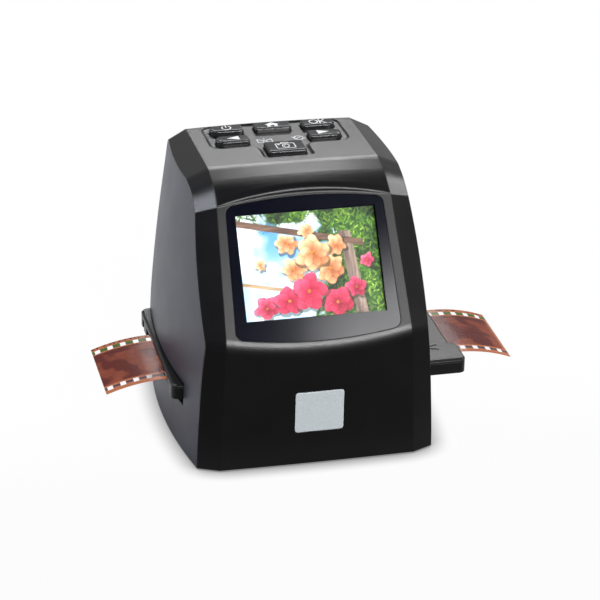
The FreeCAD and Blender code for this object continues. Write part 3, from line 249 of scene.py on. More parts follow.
def finish_node(material, *names):
    """Gives CAD nodes their finished material."""
    for name in names:
        for seat in nodes[name].material_slots:
            seat.material = material


finish_node(moulded("cover_plastic", cover_tone, 0.32), "front_cover", "rear_cover")
finish_node(moulded("side_plastic", side_tone_and_painted_tint, 0.42), "side_panel_left", "side_panel_right")

# The badge plate: a thin satin plate let into the lower front and glued, left plain.
badge_tone = (0.36, 0.39, 0.41)
finish_node(moulded("badge_paint", badge_tone, 0.38, shine=0.4, grain=0.000004), "badge_plate")

# The window: clear acrylic, printed on its back with a blue black border round the screen's picture. It
# lies in its seat in the slope, a hair under the frame.
screen_middle = (0, -0.02679, 0.06825)
screen_lean = math.radians(56.31)
picture_half = (0.02452, 0.01840)
print_blur = 0.00008
border_tone = (0.0010, 0.0014, 0.0045, 1)
border_speck = (0.0022, 0.0026, 0.0065, 1)
clear_share = 0.06

glass, surface, add, join = new_shader("window_acrylic")
lean = {"Vector": add("TexCoord").outputs["Object"], "Location": screen_middle, "Rotation": (screen_lean, 0, 0)}
on_slope = add("Mapping", lean, vector_type="TEXTURE").outputs[0]
from_middle = add("VectorMath", {0: on_slope}, operation="ABSOLUTE").outputs[0]
sides = add("SeparateXYZ", {0: from_middle}).outputs
within = [
    add("MapRange", {"Value": sides[i], "From Min": half + print_blur, "From Max": half - print_blur}).outputs[0]
    for i, half in enumerate(picture_half)
]
opened = add("Math", {0: within[0], 1: within[1]}, operation="MULTIPLY").outputs[0]
alpha = add("MapRange", {"Value": opened, "To Min": 1.0, "To Max": clear_share}).outputs[0]
join(alpha, "Alpha")
speck = add("TexNoise", {"Vector": on_slope, "Scale": 3000.0}).outputs["Fac"]
ink = add("MixRGB", {"Fac": speck, "Color1": border_tone, "Color2": border_speck}).outputs[0]
join(ink, "Base Color")
smear = add("TexNoise", {"Vector": on_slope, "Scale": 60.0, "Detail": 4.0}).outputs["Fac"]
join(add("MapRange", {"Value": smear, "To Min": 0.08, "To Max": 0.13}).outputs[0], "Roughness")
finish_node(glass, "window_glass")

# The picture on the screen: the lit layer of the display module, a garden under a summer sky with clouds,
# leaves, a wooden post and blossoms. It shows through the window and glows by itself.
picture_columns = 241
picture_rows = 181
picture_stand = 0.00005
picture_glow = 0.82


def soft_step(low, high, value):
    """0 below low and 1 above high, with a cubic ease between them."""
    t = np.clip((value - low) / (high - low), 0, 1)
    return t * t * (3 - 2 * t)


def patches(x, y, cells, seed):
    """Smooth noise from 0 to 1: random values on a square lattice, eased between its four near points, in
    four layers that halve in size and in weight."""
    total, weight_sum = np.zeros_like(x), 0
    for layer in range(4):
        gx, gy = x * cells * 2**layer, y * cells * 2**layer
        ix, iy = gx.astype(int), gy.astype(int)
        dots = np.random.default_rng(seed + layer).random((iy.max() + 2, ix.max() + 2))
        fx, fy = soft_step(0, 1, gx - ix), soft_step(0, 1, gy - iy)
        low = dots[iy, ix] * (1 - fx) + dots[iy, ix + 1] * fx
        high = dots[iy + 1, ix] * (1 - fx) + dots[iy + 1, ix + 1] * fx
        total += (low * (1 - fy) + high * fy) * 0.5**layer
        weight_sum += 0.5**layer
    return total / weight_sum


def leaves(x, y, cells, seed, length, width):
    """Pointed leaves, one to a lattice cell at a random place and turn. A point is in a leaf where its
    distance across the midrib is under the width times one less the square of its distance along it."""
    spots = np.random.default_rng(seed).random((cells * 2 + 4, cells * 2 + 4, 4))
    gx, gy = x * cells + 1, y * cells + 1
    cover, shade = np.zeros_like(x), np.zeros_like(x)
    for step_x in (-1, 0, 1):
        for step_y in (-1, 0, 1):
            cx, cy = gx.astype(int) + step_x, gy.astype(int) + step_y
            spot = spots[cy, cx]
            dx, dy = gx - cx - spot[..., 0], gy - cy - spot[..., 1]
            turn = spot[..., 2] * 2 * math.pi
            along = (dx * np.cos(turn) + dy * np.sin(turn)) / length
            across = (dy * np.cos(turn) - dx * np.sin(turn)) / width
            inside = soft_step(-0.15, 0.15, 1 - along**2 - np.abs(across)) * (np.abs(along) < 1)
            rib = 0.25 * soft_step(0.0, 0.5, np.abs(across)) + 0.75 * spot[..., 3]
            shade = np.where(inside > cover * 0.9, rib, shade)
            cover = np.maximum(cover, inside)
    return cover, shade


def blossom(x, y, place, size, petals, turn):
    """A flower of two rings of petals. The angle is folded to a petal's own, and a point lies in the petal
    where its distance off the petal's axis is under a width that swells and closes along it. Petals pale
    towards their tips, and darken at their edges and along a ruffled vein."""
    dx, dy = x - place[0], y - place[1]
    reach, angle = np.hypot(dx, dy) / size, np.arctan2(dy, dx) + turn
    cover, shade = np.zeros_like(x), np.zeros_like(x)
    for length, shift in ((1.0, 0.0), (0.74, 0.5)):
        folded = ((angle * petals / (2 * math.pi) + shift) % 1 - 0.5) * 2 * math.pi / petals
        along = np.clip(reach / length, 0, 1.2)
        width = 2.5 / petals * np.sin(math.pi * np.clip(along, 0, 1)) ** 0.55 + 0.1 * (1 - along)
        off = np.abs(folded) * reach / np.maximum(width * length, 0.01)
        inside = soft_step(1.08, 0.92, off) * soft_step(1.02, 0.96, along)
        vein = 0.08 * np.cos(folded * reach * 70 + 9 * along)
        own = 0.12 * np.sin(np.floor(angle * petals / (2 * math.pi) + shift) * 2.4 + 5 * turn)
        petal = np.clip(0.05 + 0.85 * along**1.3 - 0.45 * off**3 + vein + own + 0.25 * (dy - dx) / size, 0, 1)
        shade = shade + inside * (petal * (1 if shift == 0 else 0.92) - shade)
        cover = np.maximum(cover, inside)
    return cover, shade


def paint(canvas, cover, low, high=None, shade=0.0):
    """Lays a colour, or a blend from a dark to a light one, over the canvas where the cover is."""
    gain = np.multiply.outer(shade * np.ones(cover.shape), np.subtract(high or low, low) / 255)
    colour = np.array(low) / 255 + gain
    return canvas + cover[..., None] * (colour - canvas)


def garden_picture(columns, rows):
    """The picture's colours, row by row from below: sky, clouds, leaves, post and beam, blossoms."""
    x, y = np.meshgrid(np.linspace(0, 4 / 3, columns), np.linspace(0, 1, rows))
    blank = np.zeros(x.shape + (3,))
    sky = paint(blank, np.ones_like(x), (176, 208, 240), (70, 138, 214), soft_step(0.1, 1.0, y))
    cloud = soft_step(0.40, 0.66, patches(x, y, 3, 11) + 0.14 * soft_step(0.7, 0.0, x))
    sky = paint(sky, cloud, (206, 220, 236), (252, 253, 255), soft_step(0.35, 0.75, patches(x, y, 5, 23)))
    crowd = patches(x, y, 4, 41) + 0.55 * soft_step(0.65, 1.25, x) + 0.40 * soft_step(0.8, 1.0, y)
    crowd = crowd - 0.30 * soft_step(0.9, 0.2, x) * (y < 0.8)
    light = soft_step(0.25, 0.75, patches(x, y, 7, 61))
    canvas = paint(sky, soft_step(0.68, 0.80, crowd), (8, 26, 8), (46, 92, 26), light)
    for cells, seed, low, high, edge in (
        (13, 3, (10, 34, 10), (48, 98, 22), 0.60),
        (18, 7, (18, 54, 12), (84, 132, 30), 0.66),
        (24, 9, (44, 90, 18), (172, 200, 72), 0.78),
        (30, 13, (14, 42, 10), (112, 156, 46), 0.62),
    ):
        cover, shade = leaves(x, y, cells, seed, 0.80, 0.15)
        cover = cover * soft_step(edge - 0.04, edge + 0.04, crowd + 0.05 * (light - 0.5))
        canvas = paint(canvas, cover * (0.35 + 0.65 * light), low, high, shade)
    grain = patches(x * 1.4, y * 0.12, 40, 71)
    post = soft_step(0.060, 0.054, np.abs(x - 1.12 + 0.12 * y)) * soft_step(0.80, 0.78, y)
    canvas = paint(canvas, post, (66, 52, 48), (168, 146, 130), grain * 0.8 + 0.3 * (x > 1.12 - 0.12 * y))
    grain = patches(x * 0.12, y * 1.1, 40, 83)
    beam = soft_step(0.034, 0.028, np.abs(y - 0.93 + 0.22 * x)) * (x < 1.2)
    canvas = paint(canvas, beam, (58, 40, 32), (150, 118, 96), grain * 0.9)
    rail = soft_step(0.020, 0.014, np.abs(y - 0.36 + 0.20 * x)) * (x < 0.9)
    canvas = paint(canvas, rail, (120, 90, 60), (222, 190, 150), grain)
    bent_x, bent_y = (value + 0.07 * (patches(x, y, 6, seed) - 0.5) for value, seed in ((x, 101), (y, 103)))
    for place, size, petals, turn, low, high in (
        ((0.20, 0.52), 0.06, 6, 0.2, (176, 110, 66), (250, 222, 184)),
        ((1.22, 0.50), 0.07, 5, 0.8, (140, 20, 50), (236, 110, 140)),
        ((0.66, 0.80), 0.08, 6, 0.4, (170, 96, 54), (248, 214, 170)),
        ((1.08, 0.24), 0.10, 5, 0.3, (120, 10, 36), (230, 84, 118)),
        ((0.22, 0.12), 0.12, 5, 1.0, (130, 16, 42), (236, 104, 132)),
        ((0.92, 0.66), 0.11, 6, 0.7, (160, 84, 44), (246, 204, 156)),
        ((0.46, 0.70), 0.11, 6, 1.7, (166, 90, 48), (246, 210, 166)),
        ((0.86, 0.44), 0.14, 6, 0.9, (150, 78, 42), (240, 196, 146)),
        ((0.52, 0.46), 0.12, 6, 0.5, (160, 88, 48), (244, 206, 160)),
        ((0.70, 0.60), 0.17, 6, 0.1, (160, 84, 44), (250, 216, 168)),
        ((0.42, 0.18), 0.14, 5, 1.4, (140, 14, 44), (236, 78, 110)),
        ((0.90, 0.12), 0.15, 5, 0.9, (130, 12, 38), (228, 70, 104)),
        ((0.64, 0.24), 0.18, 5, 0.5, (150, 14, 44), (240, 80, 112)),
    ):
        shadow = blossom(bent_x, bent_y, (place[0] + 0.012, place[1] - 0.020), size * 1.08, petals, turn)[0]
        canvas = paint(canvas, 0.45 * shadow, (16, 24, 10))
        cover, shade = blossom(bent_x, bent_y, place, size, petals, turn)
        canvas = paint(canvas, cover, low, high, shade)
        heart = soft_step(0.13, 0.07, np.hypot(bent_x - place[0], bent_y - place[1]) / size)
        canvas = paint(canvas, heart, (110, 50, 14), (226, 160, 50), patches(x, y, 60, 91))
    return canvas


def slope_frame(u, v, n):
    """Turns places on the screen slope, across, up it and out of it, into the scanner's axes."""
    c, s = math.cos(screen_lean), math.sin(screen_lean)
    return np.stack([u, screen_middle[1] + v * c - n * s, screen_middle[2] + v * s + n * c], -1)


def new_piece(name, points, faces, body, material):
    """A mesh piece from arrays of points and faces, riding on a body and finish."""
    mesh = bpy.data.meshes.new(name)
    mesh.from_pydata(np.asarray(points).reshape(-1, 3).tolist(), [], faces)
    mesh.materials.append(material)
    piece = bpy.data.objects.new(name, mesh)
    scene.collection.objects.link(piece)
    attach(piece, body)
    return piece


lit_layer, surface, add, join = new_shader("lit_layer")
colours = add("Attribute", attribute_name="picture").outputs["Color"]
dots = add("TexNoise", {"Vector": add("TexCoord").outputs["Object"], "Scale": 9000.0}).outputs["Fac"]
dotted = add("MapRange", {"Value": dots, "To Min": 0.94, "To Max": 1.06}).outputs[0]
shown = add("VectorMath", {0: colours, "Scale": dotted}, operation="SCALE").outputs[0]
join(shown, "Base Color")
join(shown, "Emission Color")
surface.inputs["Emission Strength"].default_value = picture_glow
surface.inputs["Roughness"].default_value = 0.6
u, v = np.meshgrid(
    np.linspace(-1, 1, picture_columns) * (picture_half[0] + print_blur),
    np.linspace(-1, 1, picture_rows) * (picture_half[1] + print_blur),
)
k = np.arange((picture_rows - 1) * picture_columns).reshape(-1, picture_columns)[:, :-1].ravel()
quads = np.stack([k, k + 1, k + picture_columns + 1, k + picture_columns], 1).tolist()
points = slope_frame(u, v, np.full_like(u, picture_stand))
picture = new_piece("screen_picture", points, quads, "housing", lit_layer)
canvas = garden_picture(picture_columns, picture_rows)
linear = np.where(canvas <= 0.04045, canvas / 12.92, ((canvas + 0.055) / 1.055) ** 2.4)
layer = picture.data.color_attributes.new("picture", "FLOAT_COLOR", "POINT")
layer.data.foreach_set("color", np.concatenate([linear, np.ones_like(linear[..., :1])], -1).ravel())
picture.data.polygons.foreach_set("use_smooth", np.ones(len(picture.data.polygons), bool))

# The keys: gloss black ABS caps, polished in the mould, with symbols pad printed in white on them and two
# more on the field between them. A key's symbol moves with its key.
key_tone = (0.012, 0.012, 0.013)
print_tone = (0.56, 0.57, 0.57)
crease = (0, -0.0006, 0.0953)
top_fall_angle = math.atan(1.34 / 44.4)
print_height = 0.00002
key_top = 0.0016
field_floor = -0.0004
mm = 0.001

gloss = moulded("key_gloss", key_tone, 0.12, shine=0.42, grain=0.0000015, size=900.0)
keys = ("key_power", "key_home", "key_ok", "key_left", "key_right", "key_capture")
finish_node(gloss, *keys)
white_ink = moulded("white_ink", print_tone, 0.5, grain=0.000002)


def top_frame(x, y, height):
    """Turns places on the flat top, across and back from the crease, into the scanner's axes."""
    c, s = math.cos(top_fall_angle), math.sin(top_fall_angle)
    return np.stack([x, crease[1] + y * c + height * s, crease[2] - y * s + height * c], -1)


def stroke(points, width, closed=False):
    """A ribbon along a line: each point is split in two, half a width to both sides, square to the mean
    of the directions of the line before and after it. It returns the points and the four sided faces."""
    line = np.asarray(points, float)
    if closed:
        ahead, behind = np.roll(line, -1, 0) - line, line - np.roll(line, 1, 0)
    else:
        steps = np.diff(line, axis=0)
        ahead, behind = np.vstack([steps, steps[-1:]]), np.vstack([steps[:1], steps])
    ahead = ahead / np.linalg.norm(ahead, axis=1)[:, None]
    behind = behind / np.linalg.norm(behind, axis=1)[:, None]
    mean = ahead + behind
    mean = mean / np.linalg.norm(mean, axis=1)[:, None]
    square = np.stack([-mean[:, 1], mean[:, 0]], 1) / np.maximum((mean * ahead).sum(1), 0.5)[:, None]
    ribbon = np.stack([line - square * width / 2, line + square * width / 2], 1).reshape(-1, 2)
    i = np.arange(len(line) if closed else len(line) - 1)
    j = (i + 1) % len(line)
    return ribbon, np.stack([2 * i, 2 * j, 2 * j + 1, 2 * i + 1], 1).tolist()


def patch(points):
    """A filled outline, its points given against the clock."""
    return np.asarray(points, float), [list(range(len(points)))]


def arc(middle, size, start, end, count=24):
    """Points on an ellipse from one angle in degrees to another."""
    angle = np.radians(np.linspace(start, end, count))
    return np.stack([middle[0] + size[0] * np.cos(angle), middle[1] + size[1] * np.sin(angle)], 1)


def printed(name, parts, middle, height, body):
    """A printed symbol: its parts joined in one mesh on the top face and given the thickness of ink."""
    points, faces = [], []
    for part_points, part_faces in parts:
        faces += [[len(points) + i for i in face] for face in part_faces]
        points += part_points.tolist()
    flat = np.array(points) * mm
    level = np.full(len(flat), height + print_height)
    placed = top_frame(flat[:, 0] + middle[0] * mm, flat[:, 1] + middle[1] * mm, level)
    piece = new_piece(name, placed, faces, body, white_ink)
    wall = piece.modifiers.new("ink", "SOLIDIFY")
    wall.thickness = print_height
    wall.offset = -1
    return piece


ring = arc((0, -0.15), (1.6, 1.75), 125, 415)
stem = stroke([(0, 0.2), (0, 2.1)], 0.44)
printed("symbol_power", [stroke(ring, 0.44), stem], (-16.7, 34.5), key_top, "key_power")
roof = patch([(-2.7, 0.1), (2.7, 0.1), (0, 2.2)])
left_wall = patch([(-1.9, -1.8), (-0.6, -1.8), (-0.6, 0.1), (-1.9, 0.1)])
right_wall = patch([(0.6, -1.8), (1.9, -1.8), (1.9, 0.1), (0.6, 0.1)])
lintel = patch([(-0.6, -0.5), (0.6, -0.5), (0.6, 0.1), (-0.6, 0.1)])
printed("symbol_home", [roof, lintel, left_wall, right_wall], (0, 34.5), key_top, "key_home")
letter_o = stroke(arc((-1.7, 0), (1.45, 1.75), 0, 345), 0.46, closed=True)
k_stem = stroke([(0.5, -1.95), (0.5, 1.95)], 0.46)
k_arms = stroke([(2.6, 1.95), (0.9, 0.0), (2.7, -1.95)], 0.46)
printed("symbol_ok", [letter_o, k_stem, k_arms], (16.9, 34.4), key_top, "key_ok")
printed("symbol_left", [patch([(-2.3, 0), (2.1, -1.8), (2.1, 1.8)])], (-16.4, 23.6), key_top, "key_left")
printed("symbol_right", [patch([(2.3, 0), (-2.1, 1.8), (-2.1, -1.8)])], (16.2, 23.6), key_top, "key_right")
case_corners = ((2.8, 1.5, 0), (-2.8, 1.5, 90), (-2.8, -1.9, 180), (2.8, -1.9, 270))
case = np.concatenate([arc((x, y), (0.5, 0.6), start, start + 90, 6) for x, y, start in case_corners])
eye = stroke(arc((0.1, -0.2), (1.2, 1.55), 0, 345), 0.36, closed=True)
hump = stroke([(-1.4, 2.2), (-0.9, 3.1), (1.0, 3.1), (1.5, 2.2)], 0.36)
shine_mark = stroke(arc((0.1, -0.2), (0.5, 0.7), 60, 200, 10), 0.28)
flash = patch([(-2.7, 0.8), (-1.7, 0.8), (-1.7, 1.4), (-2.7, 1.4)])
camera_body = stroke(case, 0.36, closed=True)
printed("symbol_capture", [camera_body, eye, hump, shine_mark, flash], (0, 12.6), key_top, "key_capture")

left_sail = stroke([(-0.55, -1.6), (-2.6, -1.6), (-2.6, 1.6), (-0.55, 0.2)], 0.3, closed=True)
right_sail = stroke([(0.55, -1.6), (2.6, -1.6), (2.6, 1.6), (0.55, 0.2)], 0.3, closed=True)
dashes = [stroke([(0, y), (0, y + 0.7)], 0.3) for y in (-2.1, -0.9, 0.3, 1.5)]
printed("symbol_mirror", [left_sail, right_sail] + dashes, (-4.9, 24.0), field_floor, "housing")
upper_loop = stroke(arc((0.3, 0.5), (1.6, 1.5), -10, 190, 14), 0.32)
lower_loop = stroke(arc((0.3, -0.3), (1.6, 1.6), 170, 370, 14), 0.32)
upper_barb = stroke([(-2.0, 1.5), (-1.3, 0.2), (-0.5, 1.4)], 0.32)
lower_barb = stroke([(1.1, -1.3), (1.9, -0.1), (2.6, -1.3)], 0.32)
bar = stroke([(-1.0, -0.9), (1.2, 1.0)], 0.32)
printed("symbol_flip", [upper_loop, lower_loop, bar, upper_barb, lower_barb], (7.2, 24.4), field_floor, "housing")

# The film adapter: a hinged holder of black ABS, base and lid, with fine draw lines along its top, two
# steel hinge pins and two catches. It slides through the housing with the film.
adapter_tone = (0.005, 0.0049, 0.0049)
adapter_plastic = moulded(
    "adapter_plastic", adapter_tone, 0.36, shine=0.26, grain=0.00005, stretch=(0.03, 1, 1), size=1500.0
)
finish_node(adapter_plastic, "adapter_base", "adapter_lid", "adapter_latches")

# The strip of film: acetate base with its orange mask, two rows of holes punched along it, frames of dense
# and thin negative between them, and faint marks that the maker exposes along its edges.
film_middle = 0.0007
film_turn_left = (-0.0470, 0.0628)
film_turn_right = (0.0575, 0.0520)
frame_pitch = 0.0380
frame_gap_place = -0.0740
hole_pitch = 0.00475
hole_start = -0.0678
frame_half = (0.0180, 0.0120)
edge_blur = 0.00015
hole_row = 0.01409
mask_tone = (0.34, 0.110, 0.048, 1)
thin_tone = (0.20, 0.045, 0.022, 1)
dense_tone = (0.085, 0.012, 0.008, 1)
rear_mark_tone = (0.045, 0.100, 0.016, 1)
front_mark_tone = (0.035, 0.036, 0.055, 1)
tick_tone = (0.020, 0.010, 0.010, 1)
film_solidity = 0.97
film_shine = 0.15
mark_halves = (0.0007, 0.0004)
tick_pitch = 0.0007
tick_row = (0.0162, 0.0171)
tick_blur = 0.0001
bare_gap_share = 0.12
bare_tick_share = 0.55


def merged(node):
    """A node's loose triangles as shared points and faces: points that lie within a tenth of a micrometre
    are one, and triangles that this leaves with two equal corners go."""
    mesh = nodes[node].data
    places = np.empty(len(mesh.vertices) * 3)
    mesh.vertices.foreach_get("co", places)
    corners = np.empty(len(mesh.loops), int)
    mesh.loops.foreach_get("vertex_index", corners)
    shared, index = np.unique(np.round(places.reshape(-1, 3), 7), axis=0, return_inverse=True)
    faces = index.ravel()[corners].reshape(-1, 3)
    whole = (faces[:, 0] != faces[:, 1]) & (faces[:, 1] != faces[:, 2]) & (faces[:, 2] != faces[:, 0])
    return shared, faces[whole].tolist()


def along_film(x):
    """How far along the film a place is: x itself where the film is level, and at both ends the length
    of its arc, which is the bend's radius times the arcsine of the distance over that radius."""
    (start, left_bend), (end, right_bend) = film_turn_left, film_turn_right
    left = start - left_bend * np.arcsin(np.clip((start - x) / left_bend, 0, 1))
    right = end + right_bend * np.arcsin(np.clip((x - end) / right_bend, 0, 1))
    return np.where(x < start, left, np.where(x > end, right, x))


acetate, surface, add, join = new_shader("orange_mask_film")
run = add("Attribute", attribute_name="run").outputs["Fac"]
depth_y = add("SeparateXYZ", {0: add("TexCoord").outputs["Object"]}).outputs["Y"]
across = add("Math", {0: depth_y, 1: film_middle}, operation="SUBTRACT").outputs[0]
place = add("CombineXYZ", {0: run, 1: across}).outputs[0]


def maths(kind, *values):
    """The output of one Math node in the film's material."""
    return add("Math", dict(enumerate(values)), operation=kind).outputs[0]


def ramp(value, low, high):
    """0 to 1 as the value goes from low to high, in the film's material."""
    return add("MapRange", {"Value": value, "From Min": low, "From Max": high}).outputs[0]


def cycle(start, pitch):
    """Place within a pattern that repeats along the film, from -0.5 to 0.5 about each start."""
    turns = maths("DIVIDE", maths("SUBTRACT", run, start - pitch / 2), pitch)
    return maths("SUBTRACT", maths("FRACT", turns), 0.5)


side_step = maths("ABSOLUTE", across)
frame_cycle = cycle(frame_gap_place + frame_pitch / 2, frame_pitch)
in_frame = maths("ABSOLUTE", maths("MULTIPLY", frame_cycle, frame_pitch))
long_mask = ramp(in_frame, frame_half[0] + edge_blur, frame_half[0] - edge_blur)
cross_mask = ramp(side_step, frame_half[1] + edge_blur, frame_half[1] - edge_blur)
exposed = maths("MULTIPLY", long_mask, cross_mask)
shapes = add("TexNoise", {"Vector": place, "Scale": 60.0, "Detail": 2.0, "Distortion": 0.3}).outputs["Fac"]
streak_place = add("Mapping", {"Vector": place, "Scale": (10, 200, 1), "Rotation": (0, 0, 0.06)}).outputs[0]
streaks = add("TexNoise", {"Vector": streak_place, "Scale": 1.0, "Detail": 2.0}).outputs["Fac"]
density = maths("ADD", ramp(shapes, 0.46, 0.52), maths("MULTIPLY", ramp(streaks, 0.30, 0.70), 0.5))
density = maths("MINIMUM", density, 1.0)
negative = add("MixRGB", {"Fac": density, "Color1": thin_tone, "Color2": dense_tone}).outputs[0]
film_colour = add("MixRGB", {"Fac": exposed, "Color1": mask_tone, "Color2": negative}).outputs[0]
between = maths("SUBTRACT", 0.5, maths("ABSOLUTE", cycle(hole_start, hole_pitch)))
mark_long = ramp(between, 0.30, 0.26)
mark_side = maths("GREATER_THAN", across, 0.0)
mark_half = maths("MULTIPLY_ADD", mark_side, mark_halves[1], mark_halves[0])
off_row = maths("SUBTRACT", mark_half, maths("ABSOLUTE", maths("SUBTRACT", side_step, hole_row)))
mark_cross = ramp(off_row, -0.0001, 0.0001)
count = maths("FLOOR", maths("DIVIDE", maths("SUBTRACT", run, hole_start), hole_pitch))
mark_draw = add("TexWhiteNoise", {"W": count}, noise_dimensions="1D").outputs["Value"]
chosen = maths("GREATER_THAN", mark_draw, bare_gap_share)
marks = maths("MULTIPLY", maths("MULTIPLY", mark_long, mark_cross), chosen)
mark_colour = add("MixRGB", {"Fac": mark_side, "Color1": front_mark_tone, "Color2": rear_mark_tone}).outputs[0]
film_colour = add("MixRGB", {"Fac": marks, "Color1": film_colour, "Color2": mark_colour}).outputs[0]
tick_index = maths("FLOOR", maths("DIVIDE", run, tick_pitch))
tick_draw = add("TexWhiteNoise", {"W": tick_index}, noise_dimensions="1D").outputs["Value"]
tick = maths("GREATER_THAN", tick_draw, bare_tick_share)
tick_start = ramp(across, tick_row[0], tick_row[0] + tick_blur)
tick_end = ramp(across, tick_row[1], tick_row[1] - tick_blur)
tick_cross = maths("MULTIPLY", tick_start, tick_end)
ticks = maths("MULTIPLY", tick, tick_cross)
film_colour = add("MixRGB", {"Fac": ticks, "Color1": film_colour, "Color2": tick_tone}).outputs[0]
join(film_colour, "Base Color")
dust = add("TexNoise", {"Vector": place, "Scale": 400.0, "Detail": 3.0}).outputs["Fac"]
join(add("MapRange", {"Value": dust, "To Min": 0.22, "To Max": 0.34}).outputs[0], "Roughness")
wave = add("TexNoise", {"Vector": place, "Scale": 45.0}).outputs["Fac"]
join(add("Bump", {"Height": wave, "Distance": 0.0004}).outputs[0], "Normal")
surface.inputs["Specular IOR Level"].default_value = film_shine
surface.inputs["Alpha"].default_value = film_solidity

points, faces = merged("film_strip")
film_piece = new_piece("colour_negative", points, faces, "film", acetate)
film_piece.data.polygons.foreach_set("use_smooth", np.ones(len(faces), bool))
film_piece.data.set_sharp_from_angle(angle=math.radians(30))
runs = film_piece.data.attributes.new("run", "FLOAT", "POINT")
runs.data.foreach_set("value", along_film(points[:, 0]))
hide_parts("film_strip")
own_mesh(film_piece)

# Chassis, guide and optics: the base plate, the screen's tray, the adapter's guide, the optical tower and
# the lens tube, all of black glass filled plastic, matt inside against stray light.
chassis_tone = (0.014, 0.014, 0.0145)
chassis = moulded("chassis_plastic", chassis_tone, 0.62, shine=0.3, grain=0.00005, size=1600.0)
finish_node(chassis, "base_plate", "screen_holder", "guide_frame", "optical_tower", "lens_barrel")

# The foot: a die cut pad of nitrile rubber, stuck in the base plate's recess, with a fine pebbled skin.
pad_tone = (0.020, 0.020, 0.020)
finish_node(moulded("pad_rubber", pad_tone, 0.78, shine=0.2, grain=0.00012, size=900.0), "base_pad")

# The backlight: a white plastic box, a milky diffuser over it, and small white lamps on a board below.
box_tone = (0.74, 0.75, 0.75)
diffuser_tone = (0.82, 0.83, 0.85)
lamp_tone = (0.86, 0.80, 0.52)
finish_node(moulded("box_white", box_tone, 0.55, shine=0.3), "light_box")
finish_node(moulded("diffuser_opal", diffuser_tone, 0.30, grain=0.000003), "diffuser")
finish_node(moulded("lamp_phosphor", lamp_tone, 0.45, grain=0.00001, size=4000.0), "lamps")

# Steel parts: zinc plated screws, turned hinge pins and the sprung detent strip, with fine tool marks.
steel_tone = (0.52, 0.52, 0.53)
tin_tone = (0.46, 0.46, 0.45)


def plated(name, colour, roughness, stretch):
    """Plated steel: full metal, with tool marks that are noise drawn out along one axis, and faint stains."""
    material, surface, add, join = new_shader(name)
    spot = add("TexCoord").outputs["Object"]
    drawn = add("Mapping", {"Vector": spot, "Scale": stretch}).outputs[0]
    marks = add("TexNoise", {"Vector": drawn, "Scale": 1500.0, "Detail": 3.0}).outputs["Fac"]
    stain = add("TexNoise", {"Vector": spot, "Scale": 250.0, "Detail": 4.0}).outputs["Fac"]
    stained = add("MixRGB", {"Fac": stain, "Color1": tone(colour, 0.75), "Color2": tone(colour, 1.15)})
    join(stained.outputs[0], "Base Color")
    marked = add("MapRange", {"Value": marks, "To Min": roughness, "To Max": roughness + 0.16})
    join(marked.outputs[0], "Roughness")
    round_edge = add("Bevel", {"Radius": 0.0001}, samples=4).outputs["Normal"]
    join(add("Bump", {"Height": marks, "Distance": 0.000008, "Normal": round_edge}).outputs[0], "Normal")
    surface.inputs["Metallic"].default_value = 1.0
    return material


screw_steel = plated("screw_steel", steel_tone, 0.26, (1, 1, 0.2))
finish_node(screw_steel, "case_screws", "screen_screws", "key_board_screws", "tower_screws", "main_board_screws")
finish_node(plated("drawn_steel", steel_tone, 0.22, (0.03, 1, 1)), "adapter_hinge_pins", "detent_spring")
finish_node(plated("tinned_shell", tin_tone, 0.30, (1, 0.1, 1)), "usb_socket", "card_socket")

# Circuit boards: green solder mask over copper tracks, black chips and switches, and amber ribbons.
mask_green = (0.012, 0.085, 0.036)
track_green = (0.030, 0.160, 0.062)
chip_tone = (0.018, 0.018, 0.019)
ribbon_tone = (0.44, 0.20, 0.045)
copper_line = (0.56, 0.30, 0.10)
track_pitch = 0.0021
line_pitch = 0.0010


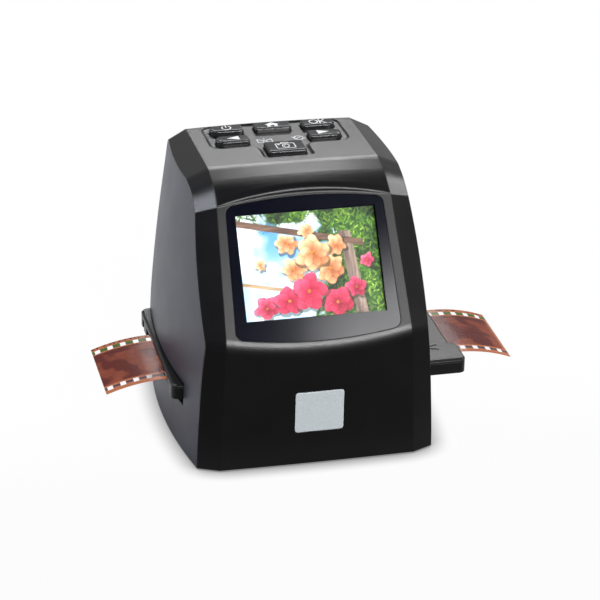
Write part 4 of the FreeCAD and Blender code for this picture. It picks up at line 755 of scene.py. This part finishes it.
def board_paint(name, turn):
    """Solder mask: a brick pattern of tracks, paler over copper, in relief by a track's thickness."""
    material, surface, add, join = new_shader(name)
    spot = add("Mapping", {"Vector": add("TexCoord").outputs["Object"], "Rotation": turn}).outputs[0]
    white, black = (1, 1, 1, 1), (0, 0, 0, 1)
    grid = {"Vector": spot, "Scale": 1 / track_pitch, "Mortar Size": 0.09}
    tracks = add("TexBrick", dict(grid, Color1=white, Color2=white, Mortar=black)).outputs["Color"]
    cloudy = add("TexNoise", {"Vector": spot, "Scale": 300.0}).outputs["Fac"]
    base = add("MixRGB", {"Fac": tracks, "Color1": tone(mask_green), "Color2": tone(track_green)}).outputs[0]
    join(add("MixRGB", {"Fac": cloudy, "Color1": base, "Color2": tone(mask_green, 1.3)}).outputs[0], "Base Color")
    join(add("MapRange", {"Value": cloudy, "To Min": 0.22, "To Max": 0.34}).outputs[0], "Roughness")
    join(add("Bump", {"Height": tracks, "Distance": 0.00003}).outputs[0], "Normal")
    return material


def ribbon_film(name, axis):
    """Polyimide over copper lines that run the ribbon's length: a wave across it gives the lines."""
    material, surface, add, join = new_shader(name)
    spot = add("TexCoord").outputs["Object"]
    lines = add("TexWave", {"Vector": spot, "Scale": 0.5 / line_pitch}, bands_direction=axis).outputs["Fac"]
    lines = add("MapRange", {"Value": lines, "From Min": 0.4, "From Max": 0.6}).outputs[0]
    striped = add("MixRGB", {"Fac": lines, "Color1": tone(ribbon_tone), "Color2": tone(copper_line)})
    join(striped.outputs[0], "Base Color")
    join(add("Bump", {"Height": lines, "Distance": 0.00002}).outputs[0], "Normal")
    surface.inputs["Roughness"].default_value = 0.3
    return material


finish_node(board_paint("board_level", (0, 0, 0)), "key_board", "light_board", "sensor_board")
finish_node(board_paint("board_upright", (math.pi / 2, 0, 0)), "main_board")
chip_body = moulded("chip_body", chip_tone, 0.55, shine=0.3, grain=0.00001, size=5000.0)
finish_node(chip_body, "main_chips", "image_sensor", "key_switches", "video_jack")
finish_node(ribbon_film("ribbon", "X"), "sensor_cable", "screen_cable")

# The lenses: ground glass with a faint bluish coating, and the dark rear of the display module.
coating_tone = (0.50, 0.56, 0.70, 1)
dusty_tone = (0.62, 0.66, 0.74, 1)
lens_solidity = 0.45
module_tone = (0.016, 0.017, 0.020)

lens, surface, add, join = new_shader("coated_lens")
lens_spot = add("TexCoord").outputs["Object"]
lens_dust = add("TexNoise", {"Vector": lens_spot, "Scale": 700.0, "Detail": 3.0}).outputs["Fac"]
dusted = add("MixRGB", {"Fac": lens_dust, "Color1": coating_tone, "Color2": dusty_tone})
join(dusted.outputs[0], "Base Color")
join(add("MapRange", {"Value": lens_dust, "To Min": 0.02, "To Max": 0.08}).outputs[0], "Roughness")
surface.inputs["Alpha"].default_value = lens_solidity
finish_node(lens, "lens_elements")
finish_node(moulded("module_back", module_tone, 0.40, grain=0.000004, size=800.0), "screen_module")
